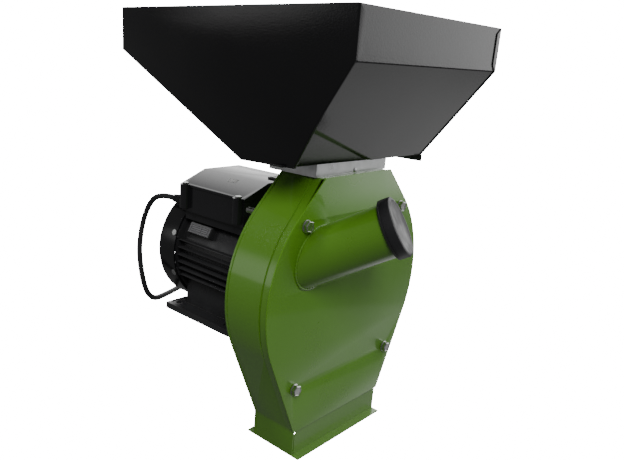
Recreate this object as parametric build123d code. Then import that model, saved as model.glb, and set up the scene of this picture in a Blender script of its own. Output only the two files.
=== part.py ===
from build123d import *
import math
import os

# Hammer mill for grain and cobs: a sheet-steel drum on the front of a foot-mounted motor,
# with a hopper above it, a cob feed tube on its lid and an outlet spout below.
# Millimetres. +Z up, -Y towards the lid, +Y towards the motor's fan.
# Origin: centre of the four foot-bolt holes, on the feet's bottom face.

# ---- where the motor holds everything ----
shaft_height = 71.0        # feet's bottom face to shaft axis
axis_z = shaft_height
frame_front = -62.0        # motor housing's front end
frame_long = 100.0
frame_back = frame_front + frame_long
nose_long = 41.0           # housing's front end to the casing's back plate

# ---- drum casing ----
drum_radius = 120.0
chamfer_angle = 45.0       # lean of the flats beside the top
throat_half = 50.0
flat_past_throat = 2.2     # the flat top reaches this far past the throat, each side
taper_angle = 24.0         # lean of the flats that run down to the spout
spout_half = 70.5
spout_straight = 28.309    # spout's upright part, below the tapered flats
sheet = 1.5                # casing and lid sheet
back_thick = 3.0
casing_depth = 56.0        # lid front to back plate's rear face
chamfer_lean = math.radians(chamfer_angle)
drum_top = (drum_radius - (throat_half + flat_past_throat) * math.cos(chamfer_lean)) / math.sin(chamfer_lean)
casing_back = frame_front - nose_long
lid_front = casing_back - casing_depth
lid_back = lid_front + sheet
plate_front = casing_back - back_thick
top_z = axis_z + drum_top
lid_overhang = 1.2
lip_width = 8.5
top_gap = 5.0              # slit between the lid and the casing top
slit_depth = 26.0          # the slit's taper, down from the top
relief_r = 1.8             # round relief hole at the top of the spout's slit
relief_slit = 0.9
spout_behind_lid = 12.0    # spout front runs this far up behind the lid
rib_tall = 4.0             # sieve's locating rib on the back plate
rib_thick = 2.0

# ---- lid bolts: long bolts through the whole casing ----
bolt_r = 3.0
bolt_across = 10.0
bolt_head = 4.0
bolt_x = 76.5
bolt_high = 77.5           # upper pair above the shaft axis
bolt_low = 86.0            # lower pair below it
bolt_tail = 19.0           # thread behind the back plate
washer_r = 6.0
washer_thick = 1.6
nut_thick = 5.0

# ---- cob feed tube and its push-on cap ----
tube_x = -59.0
tube_rise = 44.7           # tube axis above the shaft axis, at the lid
tube_turn = 25.0           # turned towards +X
tube_lift = 28.6           # lifted above level
tube_r = 25.0
tube_wall = 1.6
tube_reach = 82.5
cap_wall = 3.0
cap_skirt = 9.0
cap_end = 2.6
cap_clear = 0.05
cap_dish = 0.8
cap_rim = 3.5
tube_end_gap = 0.3         # tube's end to the inside of the cap

# ---- hopper ----
throat_high = 13.5         # casing's top to the hopper's base
slope_high = 89.5
band_high = 40.5
hopper_base = top_z + throat_high
hopper_fold = hopper_base + slope_high
hopper_rim = hopper_fold + band_high
hopper_half_low = 107.0
hopper_half_high = 116.0
hopper_front_low = lid_front - 1.0
hopper_front_high = hopper_front_low - 64.5
hopper_back_low = casing_back - 0.6
hopper_back_high = hopper_back_low + 172.6
hopper_sheet = 1.5
lap = 8.0                  # side panels' tabs lapped over the front and back
lap_sheet = 1.0
lap_strip = 3.0
lap_clip = 6.0             # corners clipped off the tabs
skirt_drop = 7.5
screw_r = 2.0              # hopper and cowl screws
screw_head_r = 3.7
screw_head = 2.0

# ---- throat and slide gate ----
throat_front = lid_back + 11.5
throat_back = plate_front - 10.0
throat_sheet = 1.5
wall_gap = 2.0             # throat's front wall forward of its opening
rail_width = 6.0
rail_back = casing_back + 13.0
gate_thick = 1.5
gate_z = top_z + 6.5
gate_hold = 3.8            # gate's edge, inside each rail
gate_half = throat_half + gate_hold
gate_gap = 0.4
gate_travel = throat_back - throat_front + 3.0
gate_back = throat_back + 80.0
gate_lip = 12.0

# ---- rotor, hammers and sieve ----
disc_thick = 3.0
disc_front = lid_back + 10.5
disc_back = plate_front - 8.0
hub_r = 18.0
nose_r = 6.0
seat_r = 8.0               # shaft under the hub and discs
pin_circle = 44.0
disc_r = pin_circle + 12.0
pin_r = 4.0
pin_clear = 0.05
pin_head_r = 6.0
pin_head = 2.0
hammer_tip = 94.0
hammer_half = 11.0
hammer_thick = 6.0
hammer_side_gap = 0.4
spacer_r = 7.0
rotor_nut_across = 18.0
rotor_nut_thick = 7.0
nose_proud = 1.5           # shaft's thread past the nut
seat_past_discs = 3.0
tip_gap = 7.0              # hammers' tips to the sieve
sieve_in = hammer_tip + tip_gap
sieve_thick = 1.5
sieve_open = 60.0          # half angle left open under the throat
sieve_hole_r = 3.0
sieve_rows = 3
sieve_columns = 20
side_gap = 1.0             # sieve edge to lid and back plate

# ---- motor ----
frame_r = 60.0
frame_wall = 4.0
fin_high = 7.0
fin_r = frame_r + fin_high
fin_thick = 2.0
fin_step = 7.5             # degrees
journal_r = 8.5
core_shaft_r = 10.0
bearing_r = 20.0
bearing_wide = 12.0
running = 0.05             # shaft to bearings, radially
shoulder_gap = 0.5         # shaft's shoulders to the bearings' faces
journal_past = 4.0
seal_out = 16.5            # groove in the bearings' faces
seal_in = 12.5
seal_deep = 0.6
shield_bore_gap = 1.0
flange_head_r = 5.1
flange_head = 2.5
flange_bolt_deep = 8.0
nose_flange_long = 10.0
fin_bare_box = 54.0        # degrees left bare under the terminal box
fin_bare_plate = 9.0       # and beside the rating plate
fin_bare_foot_from = 32.0
fin_bare_foot_to = 66.0
front_bearing = frame_front - 18.0
rear_bearing = frame_back - 10.0
nose_flange_r = frame_r - 7.0
flange_bolt_circle = nose_flange_r - 10.5
stator_in = 34.0
stator_front = frame_front + 27.0
stator_back = frame_back - 18.0
air_gap = 0.6
winding_out_gap = 4.0
winding_in_gap = 3.0
winding_long = 13.0
fan_front = frame_back + 8.0
fan_back = fan_front + 14.0
fan_shaft_r = 7.0
cowl_r = fin_r + 2.0
fan_r = cowl_r - 9.0
cowl_sheet = 1.4
cowl_front = frame_back + 2.0
cowl_back = fan_back + 12.0
cowl_round = 7.0
cowl_slots = 24
slot_wide = 3.6
slot_start = 18.0
cowl_screw_angles = (20, 160, 200, 340)
cowl_screw_in = 2.8        # screws' distance behind the cowl's front edge
lug_half = 5.0
lug_long = 5.5
shield_thick = 4.0
shield_r = fin_r - 1.0
hub_wall = 6.0             # rear bearing's hub
fan_hub_r = 14.0
fan_blades = 8
fan_sheet = 2.0

plate_angle = 150.0        # where the rating plate sits, anticlockwise from +X
plate_tall = 13.0
plate_long = 36.0
plate_y = 8.0
plate_thick = 0.8

# ---- feet ----
foot_hole_x = 56.0
foot_hole_y = 45.0
foot_hole_r = 3.5
foot_outer = foot_hole_x + 12.0
foot_inner = foot_hole_x - 18.0
foot_half_long = foot_hole_y + 9.0
foot_thick = 7.5
spot_r = 7.5               # spot faces round the foot holes
post_outer = foot_inner + 12.0
post_half_long = foot_hole_y - spot_r + 0.5
post_top = shaft_height - 27.0
spot_deep = 0.8

# ---- terminal box, switch and lead ----
box_half = 60.0
box_skirt_half = box_half - 4.0
frame_top = axis_z + frame_r
box_over_fins = 1.62
box_low = axis_z + fin_r * math.cos(math.radians(fin_bare_box)) + box_over_fins
box_skirt_top = box_low + 10.0
box_rim = box_skirt_top + 28.0
box_wall = 2.5
boss_r = 6.0
boss_x = box_half + 1.5
boss_in = 7.5              # boss centre in from the box's ends
box_top = box_rim + 16.0
box_top_half = 27.0
lid_edge = 2.5
lid_proud = 1.0
lid_ear = 3.0
box_screw_r = 1.6
box_screw_head_r = 3.4
box_screw_deep = 12.0
box_screw_head = 1.8
capacitor_r = 12.0
capacitor_x = -32.0
capacitor_long = 70.0
block_high = 12.0          # terminal block
block_x = 14.0
block_long = 32.0
block_wide = 22.0
switch_x = 3.0
switch_y = frame_front + 11.5
bezel_long = 21.0
bezel_wide = 15.0
bezel_high = 2.0
rocker_long = 16.4
rocker_wide = 11.0
rocker_gap = 0.5
rocker_tilt = 7.0
rocker_well = 6.0
rocker_low = 3.0           # rocker's underside, below its pivot
rocker_ends = 3.6          # its ends and middle, above the pivot
rocker_middle = 1.6
pivot_r = 1.5
pivot_proud = 0.4
switch_deep = 14.0
gland_x = 8.0 - box_half
gland_z = box_rim - 20.0
gland_tip = frame_back + 24.0
gland_across = 14.0
gland_nut = 5.0
gland_root_r = 6.0
gland_tip_r = 4.45
lead_r = 3.25
lead_route = [
    (gland_x, gland_tip, gland_z), (gland_x, 91, gland_z), (gland_x, 113, 112), (-62, 114, 82), (-79, 94, 52),
    (-79, 75, lead_r), (-38, 85, lead_r), (-14, 95, lead_r), (12, 88, lead_r), (35.1, 83, lead_r),
]
coil_x = 60.0
coil_y = 128.0
coil_r = 38.5              # middle of the turns
coil_layers = 2
coil_rows = 3
coil_half = coil_rows * lead_r
coil_high = coil_layers * 2 * lead_r
plug_r = 15.0
plug_neck_r = 5.0
plug_neck = 20.0
plug_long = 22.0
plug_front = 158.0         # where the lead goes into the plug
pin_thick = 4.8
pin_apart = 19.0
pin_long = 19.0

# ---- worked out from the sizes above ----
bolt_places = [(side * bolt_x, axis_z + rise) for side in (-1, 1) for rise in (bolt_high, -bolt_low)]
bezel_z = box_top
far_off = 300.0            # well past any piece
ear_top = box_rim + lid_ear


def block(x0, x1, y0, y1, z0, z1):
    centre = Pos((x0 + x1) / 2, (y0 + y1) / 2, (z0 + z1) / 2)
    return centre * Box(abs(x1 - x0), abs(y1 - y0), abs(z1 - z0))


def rod_y(radius, y0, y1, x=0.0, z=axis_z):
    return Pos(x, (y0 + y1) / 2, z) * Rot(90, 0, 0) * Cylinder(radius, y1 - y0)


def ring_y(outer, inner, y0, y1, x=0.0, z=axis_z):
    return rod_y(outer, y0, y1, x, z) - rod_y(inner, y0 - 1, y1 + 1, x, z)


def cone_y(r0, r1, y0, y1, x=0.0, z=axis_z):
    return Pos(x, (y0 + y1) / 2, z) * Rot(-90, 0, 0) * Cone(r0, r1, y1 - y0)


def rod_z(radius, z0, z1, x, y):
    return Pos(x, y, (z0 + z1) / 2) * Cylinder(radius, z1 - z0)


def prism_y(points, y0, y1):
    outline = Polyline(*[(x, y0, z) for x, z in points], close=True)
    return extrude(make_face(outline), amount=y1 - y0, dir=(0, 1, 0))


def prism_x(points, x0, x1):
    outline = Polyline(*[(x0, y, z) for y, z in points], close=True)
    return extrude(make_face(outline), amount=x1 - x0, dir=(1, 0, 0))


def hex_y(across, y0, y1, x, z):
    sides = RegularPolygon(across / 2, 6, major_radius=False)
    face = Plane(origin=(x, y0, z), x_dir=(1, 0, 0), z_dir=(0, 1, 0)) * sides
    return extrude(face, amount=y1 - y0)


def about_axis(solid, degrees):
    return Pos(0, 0, axis_z) * Rot(0, degrees, 0) * Pos(0, 0, -axis_z) * solid


def on_circle(radius, degrees):
    angle = math.radians(degrees)
    return radius * math.cos(angle), axis_z + radius * math.sin(angle)


def shoulder_z(inset):
    lean = math.radians(taper_angle)
    drop = (drum_radius - inset - (spout_half - inset) * math.cos(lean)) / math.sin(lean)
    return axis_z - drop


spout_z = shoulder_z(0) - spout_straight


def top_corner(inset):
    return (drum_radius - inset - (drum_top - inset) * math.sin(chamfer_lean)) / math.cos(chamfer_lean)


def casing_outline(inset, y):
    """Right half of the casing's outline, from the top centre to the spout shoulder."""
    radius = drum_radius - inset
    top = (top_corner(inset), y, top_z - inset)
    upper = on_circle(radius, chamfer_angle)
    middle = on_circle(radius, (chamfer_angle - taper_angle) / 2)
    lower = on_circle(radius, -taper_angle)
    shoulder = (spout_half - inset, y, shoulder_z(inset))
    arc = [(x, y, z) for x, z in (upper, middle, lower)]
    return top, arc, shoulder


def casing_slab(inset, bottom, y0, y1):
    """Solid of the casing's outline from y0 to y1, brought in by inset all round."""
    top, arc, shoulder = casing_outline(inset, y0)
    foot = (shoulder[0], y0, bottom)

    def flip(point):
        return -point[0], point[1], point[2]

    edges = [Line(flip(top), top), Line(top, arc[0]), ThreePointArc(*arc), Line(arc[2], shoulder)]
    edges.append(Line(shoulder, foot))
    edges.append(Line(foot, flip(foot)))
    edges.append(Line(flip(foot), flip(shoulder)))
    edges.append(Line(flip(shoulder), flip(arc[2])))
    edges.append(ThreePointArc(flip(arc[2]), flip(arc[1]), flip(arc[0])))
    edges.append(Line(flip(arc[0]), flip(top)))
    return extrude(make_face(edges), amount=y1 - y0, dir=(0, 1, 0))


def strip(points, thick):
    """Closed outline of a folded sheet: the points, and the same line moved left by thick."""
    lines = []
    for (x0, z0), (x1, z1) in zip(points, points[1:]):
        length = math.hypot(x1 - x0, z1 - z0)
        away = (-(z1 - z0) / length * thick, (x1 - x0) / length * thick)
        lines.append(((x0 + away[0], z0 + away[1]), (x1 - x0, z1 - z0)))
    moved = [lines[0][0]]
    for (a, u), (b, v) in zip(lines, lines[1:]):
        cross = u[0] * v[1] - u[1] * v[0]
        t = ((b[0] - a[0]) * v[1] - (b[1] - a[1]) * v[0]) / cross
        moved.append((a[0] + t * u[0], a[1] + t * u[1]))
    moved.append((lines[-1][0][0] + lines[-1][1][0], lines[-1][0][1] + lines[-1][1][1]))
    return list(points) + moved[::-1]


def tube_direction():
    turn = math.radians(tube_turn)
    lift = math.radians(tube_lift)
    flat = math.cos(lift)
    return Vector(math.sin(turn) * flat, -math.cos(turn) * flat, math.sin(lift))


def tube_rod(radius, start, end):
    """Cylinder on the feed tube's axis, measured from where the axis meets the lid."""
    way = tube_direction()
    foot = Vector(tube_x, lid_front, axis_z + tube_rise) + way * start
    face = Plane(origin=foot, z_dir=way) * Circle(radius)
    return extrude(face, amount=end - start)


# ---- casing ----
def casing_shell():
    outer = casing_slab(0, spout_z, lid_back, plate_front)
    inner = casing_slab(sheet, spout_z - 10, lid_back - 1, plate_front + 1)
    slit = prism_x(
        [(lid_back - 1, top_z + 1), (lid_back + top_gap, top_z + 1), (lid_back, top_z - slit_depth)],
        -drum_radius, drum_radius)
    return outer - inner - slit


def casing_top_region():
    edge = top_corner(sheet)
    return block(-edge, edge, lid_back - 1, plate_front + 1, top_z - sheet, top_z + 1)


def casing_wall(side):
    half = block(0, side * 2 * drum_radius, lid_back - 1, plate_front + 1, spout_z - 1, top_z + 1)
    return (casing_shell() - casing_top_region()) & half


def casing_top():
    hole = block(-throat_half, throat_half, throat_front, throat_back, top_z - 10, top_z + 10)
    return (casing_shell() & casing_top_region()) - hole


def casing_back_plate():
    plate = casing_slab(0, spout_z, plate_front, casing_back)
    lip = block(-spout_half, spout_half, casing_back, casing_back + lip_width, spout_z, spout_z + sheet)
    rib_r = sieve_in + sieve_thick
    rib = ring_y(rib_r + rib_thick, rib_r, plate_front - rib_tall, plate_front) - sieve_opening_wedge()
    plate = plate + lip + rib - rod_y(journal_r + 1.5, plate_front - 1, casing_back + 1)
    for x, z in bolt_places:
        plate -= rod_y(bolt_r, plate_front - 1, casing_back + 1, x, z)
    for x, z in flange_bolt_places():
        plate -= rod_y(bolt_r, plate_front - 1, casing_back + 1, x, z)
    return plate


def spout_front():
    """Front wall of the spout, with its lip; it runs up a little behind the lid."""
    half = spout_half - sheet
    wall = block(-half, half, lid_back, lid_back + sheet, spout_z, shoulder_z(0) + spout_behind_lid)
    lip = block(-spout_half, spout_half, lid_back - lip_width, lid_back, spout_z, spout_z + sheet)
    slit_top = shoulder_z(0) - 3
    hole = rod_y(relief_r, lid_back - 1, lid_back + sheet + 1, -half + relief_r, slit_top)
    slit = block(-half, -half + relief_slit, lid_back - 1, lid_back + sheet + 1, spout_z + sheet, slit_top)
    return wall + lip - hole - slit


def lid():
    plate = casing_slab(-lid_overhang, shoulder_z(0), lid_front, lid_back)
    plate -= tube_rod(tube_r, -60, 60)
    for x, z in bolt_places:
        plate -= rod_y(bolt_r, lid_front - 1, lid_back + 1, x, z)
    return plate


def feed_tube():
    behind_lid = block(-200, 200, lid_back, 0, -100, 400)
    tube = tube_rod(tube_r, -60, tube_reach) - behind_lid
    return tube - tube_rod(tube_r - tube_wall, -70, tube_reach + 1)


def tube_cap():
    outer_r = tube_r + cap_wall
    cap = tube_rod(outer_r, tube_reach - cap_skirt, tube_reach + cap_end)
    dish = tube_rod(outer_r - cap_rim, tube_reach + cap_end - cap_dish, tube_reach + cap_end + 1)
    return cap - tube_rod(tube_r + cap_clear, tube_reach - cap_skirt - 1, tube_reach + tube_end_gap) - dish


def lid_bolts():
    head_back = lid_front - washer_thick
    bolts = []
    for x, z in bolt_places:
        head = hex_y(bolt_across, head_back - bolt_head, head_back, x, z)
        bolts.append(head + rod_y(bolt_r, head_back, casing_back + bolt_tail, x, z))
    return bolts


def lid_washers():
    return [ring_y(washer_r, bolt_r, lid_front - washer_thick, lid_front, x, z) for x, z in bolt_places]


def lid_nuts():
    nuts = []
    for x, z in bolt_places:
        nut = hex_y(bolt_across, casing_back, casing_back + nut_thick, x, z)
        nuts.append(nut - rod_y(bolt_r, casing_back - 1, casing_back + nut_thick + 1, x, z))
    return nuts


def sieve_opening_wedge():
    """Wedge over the throat in which the sieve and its rib are left out."""
    reach = drum_radius * 1.5
    left = on_circle(reach, 90 + sieve_open)
    right = on_circle(reach, 90 - sieve_open)
    peak = axis_z + reach * 1.5
    return prism_y([(0, axis_z), left, (left[0], peak), (right[0], peak), right], lid_back, casing_back)


def sieve():
    front = lid_back + side_gap
    back = plate_front - side_gap
    screen = ring_y(sieve_in + sieve_thick, sieve_in, front, back) - sieve_opening_wedge()
    span = 360 - 2 * sieve_open
    holes = []
    for column in range(sieve_columns):
        degrees = 90 + sieve_open + span * (column + 0.5) / sieve_columns
        for row in range(sieve_rows):
            y = front + (back - front) * (row + 0.5) / sieve_rows
            drill = Rot(0, 90, 0) * Cylinder(sieve_hole_r, 8)
            drill = Pos(sieve_in + sieve_thick / 2, y, axis_z) * drill
            holes.append(about_axis(drill, -degrees))
    return screen - holes


# ---- throat and gate ----
def throat_front_wall():
    half = throat_half + rail_width
    front = throat_front - wall_gap - throat_sheet
    return block(-half, half, front, front + throat_sheet, top_z, hopper_base)


def gate_slot(y0, y1):
    half = gate_half + gate_gap
    return block(-half, half, y0, y1, gate_z - gate_gap, gate_z + gate_thick + gate_gap)


def throat_back_bars():
    half = throat_half - 0.5
    bars = block(-half, half, throat_back, throat_back + throat_sheet, top_z, hopper_base)
    return (bars - gate_slot(throat_back - 1, throat_back + throat_sheet + 1)).solids()


def gate_rail(side):
    outer = side * (throat_half + rail_width)
    front = throat_front - wall_gap
    rail = block(side * throat_half, outer, front, rail_back, top_z, hopper_base)
    return rail - gate_slot(front + 1, rail_back + 1)


def gate():
    """Slide gate, drawn back clear of the throat; it closes towards the lid."""
    front = throat_front - 1 + gate_travel
    plate = block(-gate_half, gate_half, front, gate_back, gate_z, gate_z + gate_thick)
    lip = block(-gate_half, gate_half, gate_back - gate_thick, gate_back, gate_z, gate_z + gate_lip)
    return plate + lip


# ---- hopper ----
def side_line():
    """Right-hand line of the hopper seen from the front, from its bottom to its rim."""
    return [(hopper_half_low, hopper_base), (hopper_half_high, hopper_fold), (hopper_half_high, hopper_rim)]


def between_sides():
    """Outline, seen from the front, of the room between the two side panels."""
    line = side_line()
    right = strip(line, hopper_sheet)[len(line):][::-1]
    return right + [(-x, z) for x, z in right[::-1]]


def front_line():
    return [(hopper_front_low, hopper_base), (hopper_front_high, hopper_fold), (hopper_front_high, hopper_rim)]


def back_line():
    return [(hopper_back_low, hopper_base), (hopper_back_high, hopper_fold), (hopper_back_high, hopper_rim)]


def lap_view():
    """Tab beside the band and narrow strip beside the slope, seen from the front, right side."""
    low, fold, rim = side_line()
    fold_in = (fold[0] - lap_strip, fold[1])
    slope = [low, fold, fold_in, (low[0] - lap_strip, low[1])]
    band = [fold, rim, (rim[0] - lap, rim[1] - lap_clip), (fold[0] - lap, fold[1] + lap_clip), fold_in]
    return slope, band


def hopper_side(side):
    skirt = skirt_drop if side > 0 else 0.0
    line = [(side * x, z) for x, z in side_line()]
    if skirt:
        line = [(line[0][0], hopper_base - skirt)] + line
    sheet_line = strip(line, side * hopper_sheet)
    outline = front_line() + back_line()[::-1]
    if skirt:
        outline = outline + [(hopper_back_low, hopper_base - skirt), (hopper_front_low, hopper_base - skirt)]
    panel = prism_y(sheet_line, -far_off, far_off) & prism_x(outline, -far_off, far_off)
    for edge in (front_line(), back_line()):
        outward = lap_sheet if edge[1][0] < edge[0][0] else -lap_sheet
        skin = prism_x(strip(edge, outward), -far_off, far_off)
        for view in lap_view():
            near = min(point[0] for point in edge) - 5
            far = max(point[0] for point in edge) + 5
            tab = prism_y([(side * x, z) for x, z in view], near, far)
            panel += skin & tab
    return panel


def hopper_end(line, inward):
    wall = prism_x(strip(line, inward * hopper_sheet), -far_off, far_off)
    return wall & prism_y(between_sides(), -far_off, far_off)


def hopper_floor():
    half = hopper_half_low - 2 * hopper_sheet
    front = hopper_front_low + 2 * hopper_sheet
    back = hopper_back_low - 2 * hopper_sheet
    floor = block(-half, half, front, back, hopper_base, hopper_base + hopper_sheet)
    hole = block(-throat_half, throat_half, throat_front, throat_back, hopper_base - 1, hopper_base + 5)
    for x, y in hopper_screw_places():
        hole += rod_z(screw_r, hopper_base - 1, hopper_base + 5, x, y)
    return floor - hole


def hopper_screw_places():
    x = throat_half + rail_width / 2
    return [(side * x, y) for side in (-1, 1) for y in (throat_front + 4, throat_back - 4)]


def hopper_screws():
    top = hopper_base + hopper_sheet
    screws = []
    for x, y in hopper_screw_places():
        head = rod_z(screw_head_r, top, top + screw_head, x, y)
        screws.append(head + rod_z(screw_r, hopper_base, top, x, y))
    return screws


# ---- rotor ----
def pin_places():
    return [on_circle(pin_circle, 45 + 90 * turn) for turn in range(4)]


def hammer_faces():
    middle = (disc_front + disc_back) / 2
    return middle - hammer_thick / 2, middle + hammer_thick / 2


def motor_shaft():
    seat_end = disc_back + seat_past_discs
    core_start = front_bearing + bearing_wide + shoulder_gap
    core_end = rear_bearing - shoulder_gap
    journal_end = rear_bearing + bearing_wide + journal_past
    shaft = rod_y(nose_r, disc_front - rotor_nut_thick - nose_proud, disc_front)
    shaft += rod_y(seat_r, disc_front, seat_end)
    shaft += rod_y(journal_r, seat_end, core_start)
    shaft += rod_y(core_shaft_r, core_start, core_end)
    shaft += rod_y(journal_r, core_end, journal_end)
    return shaft + rod_y(fan_shaft_r, journal_end, fan_back)


def rotor_discs():
    discs = []
    for front in (disc_front, disc_back - disc_thick):
        disc = ring_y(disc_r, seat_r, front, front + disc_thick)
        for x, z in pin_places():
            disc -= rod_y(pin_r, front - 1, front + disc_thick + 1, x, z)
        discs.append(disc)
    return discs


def rotor_hub():
    return ring_y(hub_r, seat_r, disc_front + disc_thick, disc_back - disc_thick)


def hammer_pins():
    pins = []
    for x, z in pin_places():
        pin = rod_y(pin_r, disc_front, disc_back, x, z)
        pin += rod_y(pin_head_r, disc_front - pin_head, disc_front, x, z)
        pins.append(pin + rod_y(pin_head_r, disc_back, disc_back + pin_head, x, z))
    return pins


def hammer_spacers():
    front, back = hammer_faces()
    spacers = []
    for x, z in pin_places():
        spacers.append(ring_y(spacer_r, pin_r, disc_front + disc_thick, front - hammer_side_gap, x, z))
        spacers.append(ring_y(spacer_r, pin_r, back + hammer_side_gap, disc_back - disc_thick, x, z))
    return spacers


def hammer(turn):
    front, back = hammer_faces()
    bar = block(-hammer_half, hammer_half, front, back, axis_z + pin_circle, axis_z + hammer_tip)
    bar += rod_y(hammer_half, front, back, 0, axis_z + pin_circle)
    bar -= rod_y(pin_r + pin_clear, front - 1, back + 1, 0, axis_z + pin_circle)
    return about_axis(bar, 45 + 90 * turn)


def rotor_nut():
    back = disc_front
    nut = hex_y(rotor_nut_across, back - rotor_nut_thick, back, 0, axis_z)
    return nut - rod_y(nose_r, back - rotor_nut_thick - 1, back + 1)


# ---- motor ----
def flange_bolt_places():
    return [on_circle(flange_bolt_circle, 90 * turn) for turn in range(4)]


def flange_bolts():
    bolts = []
    for x, z in flange_bolt_places():
        head = rod_y(flange_head_r, plate_front - flange_head, plate_front, x, z)
        bolts.append(head + rod_y(bolt_r, plate_front, casing_back + flange_bolt_deep, x, z))
    return bolts


def front_shield():
    nose_end = casing_back + nose_flange_long
    shield = rod_y(nose_flange_r, casing_back, nose_end)
    shield += cone_y(nose_flange_r, frame_r, nose_end, frame_front)
    shield -= rod_y(bearing_r, front_bearing, frame_front + 1)
    shield -= rod_y(frame_r - 3 * frame_wall, front_bearing + bearing_wide, frame_front + 1)
    shield -= rod_y(journal_r + shield_bore_gap, casing_back - 1, front_bearing + 1)
    for x, z in flange_bolt_places():
        shield -= rod_y(bolt_r, casing_back - 1, casing_back + flange_bolt_deep, x, z)
    return shield


def bearings():
    rings = []
    for front in (front_bearing, rear_bearing):
        ring = ring_y(bearing_r, journal_r + running, front, front + bearing_wide)
        for face in (front, front + bearing_wide):
            ring -= ring_y(seal_out, seal_in, face - seal_deep, face + seal_deep)
        rings.append(ring)
    return rings


def fin_angles():
    """Angles of the cooling fins, anticlockwise from +X; bare under the box, plate and feet."""
    count = round(360 / fin_step)
    angles = []
    for step in range(count):
        degrees = step * fin_step
        under_box = abs(degrees - 90) < fin_bare_box
        on_foot = fin_bare_foot_from < abs(degrees - 270) < fin_bare_foot_to
        on_plate = abs(degrees - plate_angle) < fin_bare_plate
        if not (under_box or on_foot or on_plate):
            angles.append(degrees)
    return angles


def plate_block(r0, r1, tall, length):
    pad = block(r0, r1, plate_y - length / 2, plate_y + length / 2, axis_z - tall / 2, axis_z + tall / 2)
    return about_axis(pad, -plate_angle)


def motor_housing():
    fins = []
    for degrees in fin_angles():
        fin = block(frame_r - 1, fin_r, frame_front + 2, frame_back - 2,
                    axis_z - fin_thick / 2, axis_z + fin_thick / 2)
        fins.append(about_axis(fin, -degrees))
    tube = rod_y(frame_r, frame_front, frame_back) + plate_block(frame_r - 2, fin_r, plate_tall, plate_long)
    return tube + fins - rod_y(frame_r - frame_wall, frame_front - 1, frame_back + 1)


def rating_plate():
    return plate_block(fin_r, fin_r + plate_thick, plate_tall - 1.5, plate_long - 2)


def stator_core():
    return ring_y(frame_r - frame_wall, stator_in, stator_front, stator_back)


def stator_windings():
    outer = frame_r - frame_wall - winding_out_gap
    inner = stator_in + winding_in_gap
    front = ring_y(outer, inner, stator_front - winding_long, stator_front)
    return [front, ring_y(outer, inner, stator_back, stator_back + winding_long)]


def rotor_core():
    return ring_y(stator_in - air_gap, core_shaft_r, stator_front - 1, stator_back + 1)


def rear_shield():
    hub_front = rear_bearing - 2
    disc_end = frame_back + shield_thick
    shield = rod_y(shield_r, frame_back, disc_end) + rod_y(bearing_r + hub_wall, hub_front, disc_end)
    shield -= rod_y(bearing_r, rear_bearing, rear_bearing + bearing_wide)
    shield -= rod_y(core_shaft_r + shield_bore_gap, hub_front - 1, rear_bearing)
    shield -= rod_y(journal_r + shield_bore_gap, hub_front - 1, disc_end + 1)
    lug_back = cowl_front + lug_long
    for degrees in cowl_screw_angles:
        lug = block(frame_r - 3, cowl_r - cowl_sheet, frame_back, lug_back,
                    axis_z - lug_half, axis_z + lug_half)
        shield += about_axis(lug, -degrees)
    shield = shield & rod_y(cowl_r - cowl_sheet, hub_front - 1, lug_back + 1)
    for degrees in cowl_screw_angles:
        shield -= about_axis(cowl_screw_shank(), -degrees)
    return shield


def rod_outward(radius, r0, r1, y):
    """Cylinder pointing straight out from the shaft axis, towards +X."""
    return Pos((r0 + r1) / 2, y, axis_z) * Rot(0, 90, 0) * Cylinder(radius, r1 - r0)


def cowl_screw_shank():
    return rod_outward(screw_r, cowl_r - 6, cowl_r, cowl_front + cowl_screw_in)


def cowl_screws():
    head = rod_outward(screw_head_r, cowl_r, cowl_r + screw_head, cowl_front + cowl_screw_in)
    return [about_axis(head + cowl_screw_shank(), -degrees) for degrees in cowl_screw_angles]


def cooling_fan():
    fan = rod_y(fan_hub_r, fan_front, fan_back) + rod_y(fan_r - 6, fan_front, fan_front + fan_sheet)
    for turn in range(fan_blades):
        blade = block(fan_hub_r - 3, fan_r, fan_front, fan_back, axis_z - fan_sheet / 2, axis_z + fan_sheet / 2)
        fan += about_axis(blade, turn * 360 / fan_blades)
    return fan - rod_y(fan_shaft_r, fan_front - 1, fan_back + 1)


def fan_cowl():
    cup = rod_y(cowl_r, cowl_front, cowl_back)
    cup = fillet(cup.edges().filter_by(GeomType.CIRCLE).sort_by(Axis.Y)[-1], cowl_round)
    inside = rod_y(cowl_r - cowl_sheet, cowl_front - 1, cowl_back - cowl_sheet)
    inside = fillet(inside.edges().filter_by(GeomType.CIRCLE).sort_by(Axis.Y)[-1], cowl_round - cowl_sheet)
    cup -= inside
    slots = []
    for turn in range(cowl_slots):
        slot = block(slot_start, cowl_r - cowl_round - 4, cowl_back - 5, cowl_back + 1,
                     axis_z - slot_wide / 2, axis_z + slot_wide / 2)
        slots.append(about_axis(slot, turn * 360 / cowl_slots))
    for degrees in cowl_screw_angles:
        slots.append(about_axis(cowl_screw_shank(), -degrees))
    return cup - slots


def motor_foot(side):
    outer = side * foot_outer
    foot = block(side * foot_inner, outer, -foot_half_long, foot_half_long, 0, foot_thick)
    foot += block(side * foot_inner, side * post_outer, -post_half_long, post_half_long, foot_thick, post_top)
    foot -= rod_y(frame_r, -foot_half_long - 1, foot_half_long + 1)
    for end in (-1, 1):
        foot -= rod_z(foot_hole_r, -1, foot_thick + 1, side * foot_hole_x, end * foot_hole_y)
        foot -= rod_z(spot_r, foot_thick - spot_deep, foot_thick + 12, side * foot_hole_x, end * foot_hole_y)
    return foot


# ---- terminal box ----
def boss_places():
    ends = (frame_front + boss_in, frame_back - boss_in)
    return [(side * boss_x, y) for side in (-1, 1) for y in ends]


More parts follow.
